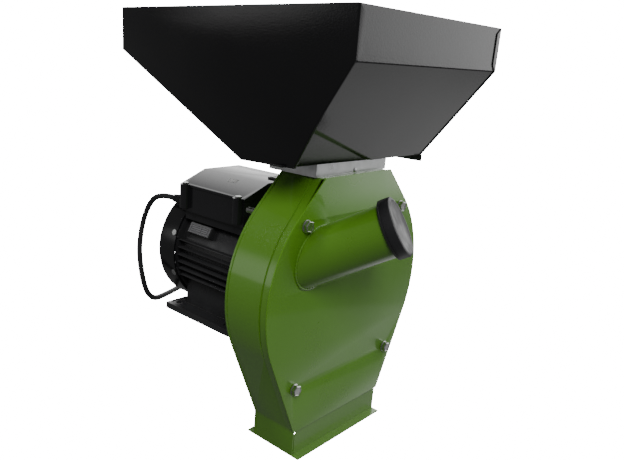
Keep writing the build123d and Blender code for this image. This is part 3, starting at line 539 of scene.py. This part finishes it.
# ==== Seam weld of the casing ====
# Low bead of weld where the rolled wall meets the back plate, and a short one inside each front corner
# of the spout, painted over with the casing.
bead_step = 1.2
for side, word in ((-1, "left"), (1, "right")):
    seam_line = [(side * (x + 0.1), plate_y + 0.2, z) for x, z in rounded(casing_line(), 3.0)]
    seam_points = []
    for (x0, y0, z0), (x1, _, z1) in zip(seam_line, seam_line[1:]):
        parts = max(1, round(math.hypot(x1 - x0, z1 - z0) / bead_step))
        seam_points += [(x0 + (x1 - x0) * k / parts, y0, z0 + (z1 - z0) * k / parts) for k in range(parts)]
    ripple = [0.62 + 0.13 * math.sin(2.3 * k) for k in range(len(seam_points))]
    piece("wall_seam_" + word, [swept(seam_points, ripple, steps=8)], green_enamel)
    corner_line = [(side * (spout_half - 1.4), front_y + 1.3, spout_z + 0.8 + 1.3 * k) for k in range(21)]
    corner_width = [1.15 + 0.1 * math.sin(2.6 * k) for k in range(len(corner_line))]
    piece("corner_seam_" + word, [swept(corner_line, corner_width, steps=8)], green_enamel)


# ==== Lid ====
# Flat steel sheet over the front of the drum, held by four long bolts. Its edge stands 1.2 mm proud
# of the wall, and it stops at the spout's shoulder.
def flat_plate(outline, holes, thick, edge, level_y):
    """Plate in the XZ plane with its front face at level_y, rounded edges and round or shaped holes."""
    curve = bpy.data.curves.new("plate_outline", "CURVE")
    curve.dimensions = "2D"
    curve.fill_mode = "BOTH"
    curve.extrude = thick / 2 - edge
    curve.bevel_depth = edge
    curve.bevel_resolution = 2
    curve.offset = -edge
    for loop in [outline] + holes:
        spline = curve.splines.new("POLY")
        spline.points.add(len(loop) - 1)
        for point, (x, z) in zip(spline.points, loop):
            point.co = (x, z, 0, 1)
        spline.use_cyclic_u = True
    holder = bpy.data.objects.new("plate_outline", curve)
    mesh = bpy.data.meshes.new_from_object(holder)
    work = bmesh.new()
    work.from_mesh(mesh)
    bmesh.ops.remove_doubles(work, verts=work.verts, dist=0.0005)
    bmesh.ops.recalc_face_normals(work, faces=work.faces)
    work.verts.index_update()
    points = [(corner.co.x, level_y + thick / 2 - corner.co.z, corner.co.y) for corner in work.verts]
    faces = [[c.index for c in face.verts] for face in work.faces]
    work.free()
    bpy.data.objects.remove(holder)
    bpy.data.curves.remove(curve)
    bpy.data.meshes.remove(mesh)
    return points, faces


lid_y, lid_thick, lid_lip = -159, 1.5, 1.2
bolt_x, bolt_high, bolt_low, bolt_hole_r = 76.5, 77.5, 86, 3.1
bolt_places = [(side * bolt_x, axis_z + rise) for side in (-1, 1) for rise in (bolt_high, -bolt_low)]
tube_turn, tube_rise = math.radians(25), math.radians(28.6)
tube_way = Vector((math.sin(tube_turn) * math.cos(tube_rise), -math.cos(tube_turn) * math.cos(tube_rise),
                   math.sin(tube_rise)))
tube_foot = Vector((-59, lid_y, axis_z + 44.7))


def tube_circle(radius, y, count=72):
    """Where a circle of this radius about the feed tube's line crosses the plane at y."""
    across = tube_way.orthogonal().normalized()
    other = tube_way.cross(across)
    ring = []
    for step in range(count):
        angle = 2 * math.pi * step / count
        arm = tube_foot + (across * math.cos(angle) + other * math.sin(angle)) * radius
        ring.append(arm + tube_way * ((y - arm.y) / tube_way.y))
    return ring


lid_right = rounded(casing_line(lid_lip, shoulder_z), 2.0)
lid_outline = lid_right + [(-x, z) for x, z in lid_right[::-1]]
lid_holes = []
for x, z in bolt_places:
    turns = [step * math.pi / 12 for step in range(24)]
    lid_holes.append([(x + bolt_hole_r * math.cos(turn), z + bolt_hole_r * math.sin(turn)) for turn in turns])
lid_holes.append([(point.x, point.z) for point in tube_circle(24.9, lid_y + lid_thick / 2)])
# Same gloss green enamel as the casing. This copy's colour is painted lighter and more saturated to stand for
# the stronger light on the lid's face, and it has a thinner coat.
lid_enamel_painted_lighter = finish("lid_enamel_painted_lighter", (0.080, 0.215, 0.011), 0.34, patchy=0.08, patch=80, grain=2.6, depth=0.012,
                    coat=0.55, coat_rough=0.05, shine=0.4)
piece("lid_sheet", [flat_plate(lid_outline, lid_holes, lid_thick, 0.3, lid_y)], lid_enamel_painted_lighter,
      ["lid"])


# ==== Feed tube ====
# Round steel tube 50 mm across that cobs are pushed through. It leans up and to the right, and is
# welded to the lid with a bead that was painted over.
piece("cob_tube", [cad_shape("feed_tube")], green_enamel, ["feed_tube"], edge=0.3)
bead_line = tube_circle(25.5, lid_y - 0.4, 150)
bead_width = [1.15 + 0.28 * math.sin(2.1 * k) + 0.2 * math.sin(0.37 * k + 1) for k in range(len(bead_line))]
piece("tube_weld", [swept(bead_line, bead_width, closed=True)], green_enamel)


# ==== Tube cap ====
# Black rubber cap pushed over the tube's end, with a rounded rim and a slightly sunk face.
cap_rubber = finish("cap_rubber", (0.012, 0.012, 0.013), 0.5, patchy=0.3, patch=14, grain=0.45, depth=0.03,
                    shine=0.7)
cap_start = tube_foot + tube_way * 73.5
cap_line = [(0.0, 25.1), (0.0, 27.3), (0.5, 27.9), (1.4, 28.0), (1.8, 27.6), (2.4, 27.6), (2.8, 28.0),
            (9.6, 28.0), (10.9, 27.4), (11.5, 26.2), (11.6, 25.0), (11.3, 24.2), (10.9, 23.6), (10.85, 12.0),
            (10.95, 5.0), (11.0, 0)]
cap_inner = [(0.0, 25.1), (9.3, 25.1), (9.3, 0)]
piece("cap", [turned(cap_line, cap_start, tube_way, 96), turned(cap_inner, cap_start, tube_way, 96)],
      cap_rubber, ["tube_cap"], body="cap")


# ==== Lid bolts, washers and nuts ====
# Four zinc-plated M6 bolts right through the casing, each with a flat washer under its head and a
# nut behind the back plate. The spare thread shows behind.
zinc_plate = finish("zinc_plate", (0.60, 0.61, 0.60), 0.30, metal=1.0, patchy=0.22, patch=5, grain=0.4,
                    depth=0.006)


def hexagon_head(x, z, start_y, end_y, across, crown):
    """Hexagon with its outer corners turned off; crown is +1 or -1, the way its top faces."""
    corner = across / math.sqrt(3)
    high = abs(end_y - start_y)
    line = [(0, 0), (0, corner), (high - 0.6, corner), (high, corner * 0.87), (high, corner * 0.80),
            (high - 0.25, corner * 0.74), (high - 0.25, 0)]
    return turned(line, (x, start_y, z), (0, crown, 0), 6)


def thread_rod(x, z, radius, start_y, end_y, pitch=1.0):
    """Rod along Y with a ridge for every turn of its thread."""
    line = [(0, 0), (0, radius)]
    turns = int((end_y - start_y - 1) / pitch)
    for number in range(turns):
        line += [(0.3 + number * pitch, radius), (0.3 + (number + 0.5) * pitch, radius - 0.45)]
    line += [(end_y - start_y - 0.6, radius), (end_y - start_y, radius - 0.6), (end_y - start_y, 0)]
    return turned(line, (x, start_y, z), (0, 1, 0), 32)


hexagon = 10
washer_y, nut_y = lid_y - 1.6, -103
washer_line = [(0, 3.05), (0, 5.7), (0.3, 6), (1.3, 6), (1.6, 5.7), (1.6, 3.05), (0, 3.05)]
bolt_shapes, washer_shapes, nut_shapes = [], [], []
for x, z in bolt_places:
    bolt_shapes += [hexagon_head(x, z, washer_y, washer_y - 4, hexagon, -1), thread_rod(x, z, 3, -161, -84)]
    washer_shapes.append(turned(washer_line, (x, lid_y, z), (0, -1, 0), 40))
    nut_shapes.append(hexagon_head(x, z, nut_y, nut_y + 5, hexagon, 1))
piece("through_bolts", bolt_shapes, zinc_plate, ["lid_bolts"], smooth=30)
piece("flat_washers", washer_shapes, zinc_plate, ["lid_washers"])
piece("hexagon_nuts", nut_shapes, zinc_plate, ["lid_nuts"], smooth=30)


# ==== Throat, rails and slide gate ====
# Galvanised strips that hold the hopper above the drum. The slide gate runs in slots in the two side
# rails, and its bent-up back edge is the handle. A rivet closes the front strip.
galvanised = finish("galvanised", (0.66, 0.67, 0.67), 0.36, metal=0.9, patchy=0.16, patch=9, grain=1.5,
                    depth=0.01)
spangle_nodes, spangle_links = galvanised.node_tree.nodes, galvanised.node_tree.links
spangle = spangle_nodes.new("ShaderNodeTexVoronoi")
spangle_wide = 5
spangle.inputs["Scale"].default_value = 1 / (spangle_wide * mm)
spangle_place = spangle_nodes.new("ShaderNodeTexCoord")
spangle_links.new(spangle_place.outputs["Object"], spangle.inputs["Vector"])
spangle_rough = spangle_nodes.new("ShaderNodeMapRange")
spangle_rough.inputs["To Min"].default_value = 0.26
spangle_rough.inputs["To Max"].default_value = 0.48
spangle_links.new(spangle.outputs["Color"], spangle_rough.inputs["Value"])
spangle_links.new(spangle_rough.outputs["Result"], spangle_nodes["Principled BSDF"].inputs["Roughness"])
rivet_line = [(0, 2.6), (0.4, 2.5), (0.9, 1.8), (1.15, 0.8), (1.2, 0)]
piece("throat_strip", [cad_shape("throat_front"), turned(rivet_line, (3, -149.4, 191.5), (0, -1, 0), 20)],
      galvanised, ["throat_front"], edge=0.25)
piece("throat_bars", [cad_shape("throat_back")], galvanised, ["throat_back"], edge=0.25)
for word in ("left", "right"):
    piece("rail_" + word, [cad_shape("gate_rail_" + word)], galvanised, ["gate_rail_" + word],
          edge=0.3)
piece("gate_slide", [cad_shape("slide_gate")], galvanised, ["slide_gate"], body="gate",
      edge=0.35)


# ==== Hopper ====
# Four folded steel panels in gloss black enamel with an orange-peel skin. The side panels have tabs
# and narrow strips that lap over the front and back panels; the left front corner is dented in.
hopper_enamel = finish("hopper_enamel", (0.0045, 0.0045, 0.005), 0.16, patchy=0.2, patch=60, grain=1.4,
                       depth=0.09, rough_swing=0.2)
rim_z, fold_z, base_z = 332, 291.5, 202
low_half, high_half = 107, 116              # half widths at the floor and at the fold
front_low, front_high = -161, -225.5        # front edges at the floor and at the fold
back_low, back_high = -101.6, 70
tab, tab_short, strip = 8, 6, 3
slant_share = 0.42                          # how far up the slope the dented corner's crease starts
hopper_middle = Vector((0, -90, 290))


def sheet_piece(name, points, faces, stands_for, thick=1.0, bend=1.4):
    """Folded sheet from its outer faces, turned outward, thickened inward, with rounded bends."""
    mesh = bpy.data.meshes.new(name)
    mesh.from_pydata([Vector(p) * mm for p in points], [], faces)
    for polygon in mesh.polygons:
        if polygon.normal.dot(polygon.center - hopper_middle * mm) < 0:
            polygon.flip()
        polygon.use_smooth = True
    mesh.materials.append(hopper_enamel)
    made = bpy.data.objects.new(name, mesh)
    bpy.context.scene.collection.objects.link(made)
    folds = made.modifiers.new("folds", "BEVEL")
    folds.width = bend * mm
    folds.segments = 4
    folds.limit_method = "ANGLE"
    folds.angle_limit = math.radians(7)
    sheet_metal = made.modifiers.new("sheet_metal", "SOLIDIFY")
    sheet_metal.thickness = thick * mm
    sheet_metal.offset = -1
    cut_edges = made.modifiers.new("cut_edges", "BEVEL")
    cut_edges.width = 0.22 * mm
    cut_edges.segments = 2
    cut_edges.limit_method = "ANGLE"
    cut_edges.angle_limit = math.radians(50)
    cut_edges.harden_normals = True
    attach(made, "frame")
    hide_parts(*stands_for)
    return made


def between(low, high, share):
    """The point that is this share of the way from low to high."""
    return tuple(Vector(low) * (1 - share) + Vector(high) * share)


def side_panel(side):
    """Outer faces of a side panel with its tabs and strips; the left one is dented, the right hangs lower."""
    dent = 8 if side < 0 else 0
    drop = 7.5 if side > 0 else 0
    x_low, x_high = side * low_half, side * high_half
    dented_y = front_low + dent * 0.25
    points = [(x_low + dent, dented_y, base_z), (x_high, front_high, fold_z), (x_high, front_high, rim_z),
              (x_low, back_low, base_z), (x_high, back_high, fold_z), (x_high, back_high, rim_z),
              between((x_low, front_low, base_z), (x_high, front_high, fold_z), slant_share)]
    inward = -side
    tab_x, strip_x = x_high + inward * tab, x_high + inward * strip
    for y in (front_high, back_high):
        points += [(tab_x, y, rim_z - tab_short), (tab_x, y, fold_z + tab_short), (strip_x, y, fold_z)]
    points += [(x_low + inward * strip + dent, dented_y, base_z), (x_low + inward * strip, back_low, base_z),
               (points[6][0] + inward * strip, points[6][1], points[6][2])]
    faces = [[0, 6, 1, 4, 3], [1, 2, 5, 4], [1, 2, 7, 8, 9], [4, 5, 10, 11, 12], [6, 1, 9, 15],
             [0, 6, 15, 13], [3, 4, 12, 14]]
    if drop:
        points += [(x_low, front_low, base_z - drop), (x_low, back_low, base_z - drop)]
        faces.append([0, 3, 17, 16])
    return points, faces


for side, word in ((-1, "left"), (1, "right")):
    panel_points, panel_faces = side_panel(side)
    sheet_piece("hopper_side_" + word, panel_points, panel_faces, ["hopper_" + word])

inner_low, inner_high = low_half - 1.1, high_half - 1.1
inner_front_low, inner_front_high = front_low + 1, front_high + 1
bottom_share = 0.57                         # how far along the floor's edge the crease ends
crease_high = between((-inner_low, inner_front_low, base_z), (-inner_high, inner_front_high, fold_z),
                      slant_share)
crease_low = (-inner_low + 2 * inner_low * bottom_share, inner_front_low, base_z)
groove_high = (crease_high[0] + 1.2, crease_high[1] + 4.2, crease_high[2] - 3.2)
groove_low = (crease_low[0] - 4.5, crease_low[1] + 2.6, base_z)
front_points = [(-98.5, -154.5, base_z + 0.5), crease_low, (inner_low, inner_front_low, base_z),
                (inner_high, inner_front_high, fold_z), (-inner_high, inner_front_high, fold_z), crease_high,
                (inner_high, inner_front_high, rim_z), (-inner_high, inner_front_high, rim_z),
                groove_low, groove_high]
front_faces = [[1, 2, 3, 4, 5], [8, 1, 5, 9], [0, 8, 9], [4, 3, 6, 7]]
sheet_piece("hopper_front_panel", front_points, front_faces, ["hopper_front"], bend=0.9)
inner_back_low, inner_back_high = back_low - 2, back_high - 1
back_points = [(-inner_low, inner_back_low, base_z), (inner_low, inner_back_low, base_z),
               (inner_high, inner_back_high, fold_z), (-inner_high, inner_back_high, fold_z),
               (inner_high, inner_back_high, rim_z), (-inner_high, inner_back_high, rim_z)]
sheet_piece("hopper_back_panel", back_points, [[0, 1, 2, 3], [3, 2, 4, 5]], ["hopper_back"], bend=1.8)


# ==== Hopper floor and its screws ====
# Flat sheet with a square mouth over the throat, held to the rails by four pan-head screws inside.
floor_line = [(-94, -153.5), (104, -157), (104, -106.8), (-104, -106.8), (-104, -150)]
mouth_line = [(-50, -146), (50, -146), (50, -116), (-50, -116)]
floor_thick = 1.5
floor_points, floor_faces = flat_plate(floor_line, [mouth_line], floor_thick, 0.25, 0)
floor_points = [(x, z, base_z + y) for x, y, z in floor_points]
piece("hopper_base", [(floor_points, [face[::-1] for face in floor_faces])], hopper_enamel,
      ["hopper_floor"])
screw_places = [(side * 53, y) for side in (-1, 1) for y in (-142, -120)]
pan_head = [(0, 0), (0, 3.7), (0.9, 3.7), (1.6, 3.1), (2.0, 1.9), (1.3, 0.9), (1.2, 0)]
shank_line = [(0, 0), (0, 2), (floor_thick, 2), (floor_thick, 0)]
screw_shapes = [turned(pan_head, (x, y, base_z + floor_thick), (0, 0, 1), 28) for x, y in screw_places]
screw_shapes += [turned(shank_line, (x, y, base_z), (0, 0, 1), 20) for x, y in screw_places]
piece("pan_screws", screw_shapes, zinc_plate, ["hopper_screws"])


# ==== Rotor and hammers ====
# Two steel discs on the motor's shaft carry four pins. A hardened hammer swings on each pin between
# two spacers, and a nut holds the whole pack on the shaft.
turned_steel = finish("turned_steel", (0.52, 0.52, 0.53), 0.3, metal=1.0, patchy=0.15, patch=12, grain=0.35,
                      depth=0.008, stretch=(1, 0.25, 1))
hammer_steel = finish("hammer_steel", (0.28, 0.28, 0.30), 0.42, metal=1.0, patchy=0.35, patch=7, grain=0.6,
                      depth=0.03)
for word in ("rotor_discs", "rotor_hub", "rotor_nut", "hammer_pins", "hammer_spacers", "motor_shaft"):
    piece(word + "_turned", [cad_shape(word)], turned_steel, [word], body="rotor",
          edge=0.25)
for number in (1, 2, 3, 4):
    piece(f"hammer_blade_{number}", [cad_shape(f"hammer_{number}")], hammer_steel,
          [f"hammer_{number}"], body=f"hammer_{number}", edge=0.5)


# ==== Sieve ====
# Perforated steel screen round the lower two thirds of the hammer circle, held between the lid and
# a rib on the back plate.
screen_steel = finish("screen_steel", (0.50, 0.50, 0.49), 0.38, metal=1.0, patchy=0.2, patch=15, grain=0.6,
                      depth=0.01)
paint(screen_steel, "sieve")


# ==== Motor inside ====
# Steel laminations pressed into the housing with varnished copper windings, a laminated rotor core
# and two sealed ball bearings.
laminations = finish("laminations", (0.20, 0.20, 0.21), 0.5, metal=0.8, patchy=0.2, patch=8, grain=0.5,
                     depth=0.02, stretch=(0.1, 1, 0.1))
winding_copper = finish("winding_copper", (0.52, 0.17, 0.05), 0.35, metal=0.7, patchy=0.3, patch=3, grain=0.7,
                        depth=0.06, stretch=(1, 0.2, 1))
paint(laminations, "stator_core", "rotor_core")
paint(winding_copper, "stator_windings")
paint(turned_steel, "motor_bearings")


# ==== Motor housing ====
# Cast aluminium barrel with straight cooling fins, bare under the terminal box, at the feet and
# beside the rating plate. Sprayed satin black.
motor_paint = finish("motor_paint", (0.018, 0.018, 0.019), 0.32, patchy=0.25, patch=18, grain=0.9, depth=0.03)
barrel_r, fin_r, bore_r = 60, 67, 56
barrel_front, barrel_long = -62, 100
plate_angle = 150
fin_angles = [step * 7.5 for step in range(48)]
fin_angles = [a for a in fin_angles
              if not (abs(a - 90) < 54 or 32 < abs(a - 270) < 66 or abs(a - plate_angle) < 9)]


def barrel_point(radius, degrees):
    angle = math.radians(degrees)
    return radius * math.cos(angle), axis_z + radius * math.sin(angle)


edge_r = fin_r - 0.7
root_turn, tip_turn = math.degrees(1.6 / barrel_r), math.degrees(0.95 / (fin_r - 1))
fin_line = [(barrel_r, -root_turn), (edge_r, -tip_turn), (fin_r, -tip_turn * 0.45),
            (fin_r, tip_turn * 0.45), (edge_r, tip_turn), (barrel_r, root_turn)]
barrel_line = []
for step in range(144):
    degrees = step * 2.5
    if degrees in fin_angles:
        barrel_line += [barrel_point(radius, degrees + turn) for radius, turn in fin_line]
    else:
        barrel_line.append(barrel_point(barrel_r, degrees))
bore_line = [barrel_point(bore_r, step * 5) for step in range(72)]
fins_shape = flat_plate(barrel_line, [bore_line], barrel_long - 4, 0.5, barrel_front + 2)
piece("barrel_fins", [fins_shape], motor_paint, ["motor_housing"])
barrel_end = [(0, bore_r), (0, barrel_r - 0.4), (0.4, barrel_r), (barrel_long - 0.4, barrel_r),
              (barrel_long, barrel_r - 0.4), (barrel_long, bore_r), (0, bore_r)]
piece("barrel", [turned(barrel_end, (0, barrel_front, axis_z), (0, 1, 0), 96)], motor_paint)


# ==== Rating plate ====
# Blank aluminium plate riveted to a pad on the housing's left side, with ruled lines and no text.
plate_metal = finish("plate_metal", (0.62, 0.62, 0.64), 0.3, metal=1.0, patchy=0.1, patch=6, grain=0.25,
                     depth=0.004, stretch=(1, 0.1, 1))
plate_turn = math.radians(plate_angle)
plate_out = Vector((math.cos(plate_turn), 0, math.sin(plate_turn)))
plate_up = Vector((math.sin(plate_turn), 0, -math.cos(plate_turn)))
plate_centre = Vector((0, 8, axis_z))


def pad(low, high, tall, length, shift=0.0, along=0.0):
    """Block on the housing's side, from low to high mm out from the shaft's line."""
    corners = []
    for out in (low, high):
        for u, v in ((-1, -1), (1, -1), (1, 1), (-1, 1)):
            corners.append(plate_centre + plate_out * out + plate_up * (shift + u * tall / 2) +
                           Vector((0, along + v * length / 2, 0)))
    return corners, [[0, 1, 2, 3], [7, 6, 5, 4], [0, 4, 5, 1], [1, 5, 6, 2], [2, 6, 7, 3], [3, 7, 4, 0]]


piece("plate_pad", [pad(barrel_r - 2, fin_r, 13, 36)], motor_paint, edge=0.8)
plate_face = fin_r + 0.75
rivet_line = [(0, 1.0), (0.25, 0.9), (0.4, 0)]
plate_shapes = [pad(fin_r, plate_face, 11.5, 34)]
for up, along in ((-4.6, -15.6), (-4.6, 15.6), (4.6, -15.6), (4.6, 15.6)):
    rivet_foot = plate_centre + plate_out * (plate_face - 0.05) + plate_up * up + Vector((0, along, 0))
    plate_shapes.append(turned(rivet_line, rivet_foot, plate_out, 16))
rule_shapes = [pad(plate_face, plate_face + 0.1, 0.35, 28, shift) for shift in (-3.2, -1.1, 1.1, 3.2)]
rule_shapes += [pad(plate_face, plate_face + 0.1, 6.7, 0.35, 0, along) for along in (-14, -3, 14)]
piece("plate_sheet", plate_shapes, plate_metal, ["rating_plate"], edge=0.15)
rule_ink = finish("rule_ink", (0.05, 0.05, 0.055), 0.5, patchy=0.2, patch=4, grain=0.3, depth=0.005)
piece("plate_rules", rule_shapes, rule_ink)


# ==== Motor ends ====
# The front end casting bolts the motor to the drum's back plate and holds the front bearing; the
# rear one holds the other bearing and the cowl.
for word in ("motor_front_shield", "motor_rear_shield"):
    piece(word + "_cast", [cad_shape(word)], motor_paint, [word], edge=0.5)
piece("flange_screws", [cad_shape("flange_bolts")], zinc_plate, ["flange_bolts"], edge=0.2)


# ==== Fan and cowl ====
# Moulded plastic fan on the shaft's rear end under a pressed steel cowl in gloss black, slotted at
# the back and held by four screws.
fan_plastic = finish("fan_plastic", (0.035, 0.035, 0.037), 0.5, patchy=0.15, patch=10, grain=0.5, depth=0.02)
piece("fan_moulding", [cad_shape("cooling_fan")], fan_plastic, ["cooling_fan"], body="rotor",
      edge=0.4)
cowl_enamel = finish("cowl_enamel", (0.006, 0.006, 0.0065), 0.18, patchy=0.2, patch=30, grain=1.6, depth=0.02)
piece("cowl_pressing", [cad_shape("fan_cowl")], cowl_enamel, ["fan_cowl"], edge=0.2)
piece("cowl_pan_screws", [cad_shape("cowl_screws")], zinc_plate, ["cowl_screws"], edge=0.5)


# ==== Feet ====
# Two cast feet with spot-faced bolt holes, one piece with the housing's posts, painted with it.
for word in ("left", "right"):
    piece("cast_foot_" + word, [cad_shape("foot_" + word)], motor_paint, ["foot_" + word],
          edge=0.9)


# ==== Terminal box ====
# Moulded black plastic box on top of the motor with a sloped lid, four corner ears with screws, a
# capacitor and a terminal block inside, and a small blank sticker on the slope.
box_plastic = finish("box_plastic", (0.010, 0.010, 0.011), 0.14, patchy=0.2, patch=25, grain=0.7, depth=0.012)
piece("box_base", [cad_shape("terminal_box")], box_plastic, ["terminal_box"], edge=0.8)
piece("box_cover", [cad_shape("terminal_box_lid")], box_plastic, ["terminal_box_lid"],
      edge=0.9)
piece("ear_screws", [cad_shape("box_screws")], zinc_plate, ["box_screws"], edge=0.4)
capacitor_plastic = finish("capacitor_plastic", (0.70, 0.70, 0.66), 0.4, patchy=0.08, patch=12, grain=0.5,
                           depth=0.01)
paint(capacitor_plastic, "capacitor")
block_plastic = finish("block_plastic", (0.09, 0.09, 0.09), 0.5, patchy=0.15, patch=8, grain=0.4, depth=0.02)
paint(block_plastic, "terminal_block")
slope_run, slope_rise, slope_foot_x, slope_foot_z = 34, 13.5, -61, 152.5
slope_way = Vector((slope_run, 0, slope_rise)).normalized()
slope_out = Vector((-slope_way.z, 0, slope_way.x))
up_slope = 25
sticker_centre = Vector((slope_foot_x + up_slope, -19, slope_foot_z + up_slope * slope_rise / slope_run))
sticker_corners = []
for out in (-0.05, 0.12):
    for u, v in ((-1, -1), (1, -1), (1, 1), (-1, 1)):
        sticker_corners.append(sticker_centre + slope_out * out + slope_way * u * 3.2 + Vector((0, v * 6, 0)))
sticker_faces = [[3, 2, 1, 0], [4, 5, 6, 7], [0, 1, 5, 4], [1, 2, 6, 5], [2, 3, 7, 6], [3, 0, 4, 7]]
sticker_paper = finish("sticker_paper", (0.55, 0.55, 0.54), 0.45, patchy=0.1, patch=5, grain=0.4, depth=0.004)
piece("blank_sticker", [(sticker_corners, sticker_faces)], sticker_paper)


# ==== Rocker switch ====
# Snap-in switch in the lid's flat top: a moulded frame and a rocker that tips about its middle.
switch_plastic = finish("switch_plastic", (0.014, 0.014, 0.015), 0.35, patchy=0.2, patch=6, grain=0.4,
                        depth=0.012)
rocker_plastic = finish("rocker_plastic", (0.03, 0.03, 0.032), 0.22, patchy=0.15, patch=6, grain=0.4,
                        depth=0.006)
piece("switch_frame", [cad_shape("switch_body")], switch_plastic, ["switch_body"], edge=0.4)
piece("switch_tip", [cad_shape("switch_rocker")], rocker_plastic, ["switch_rocker"],
      body="rocker", edge=0.5)
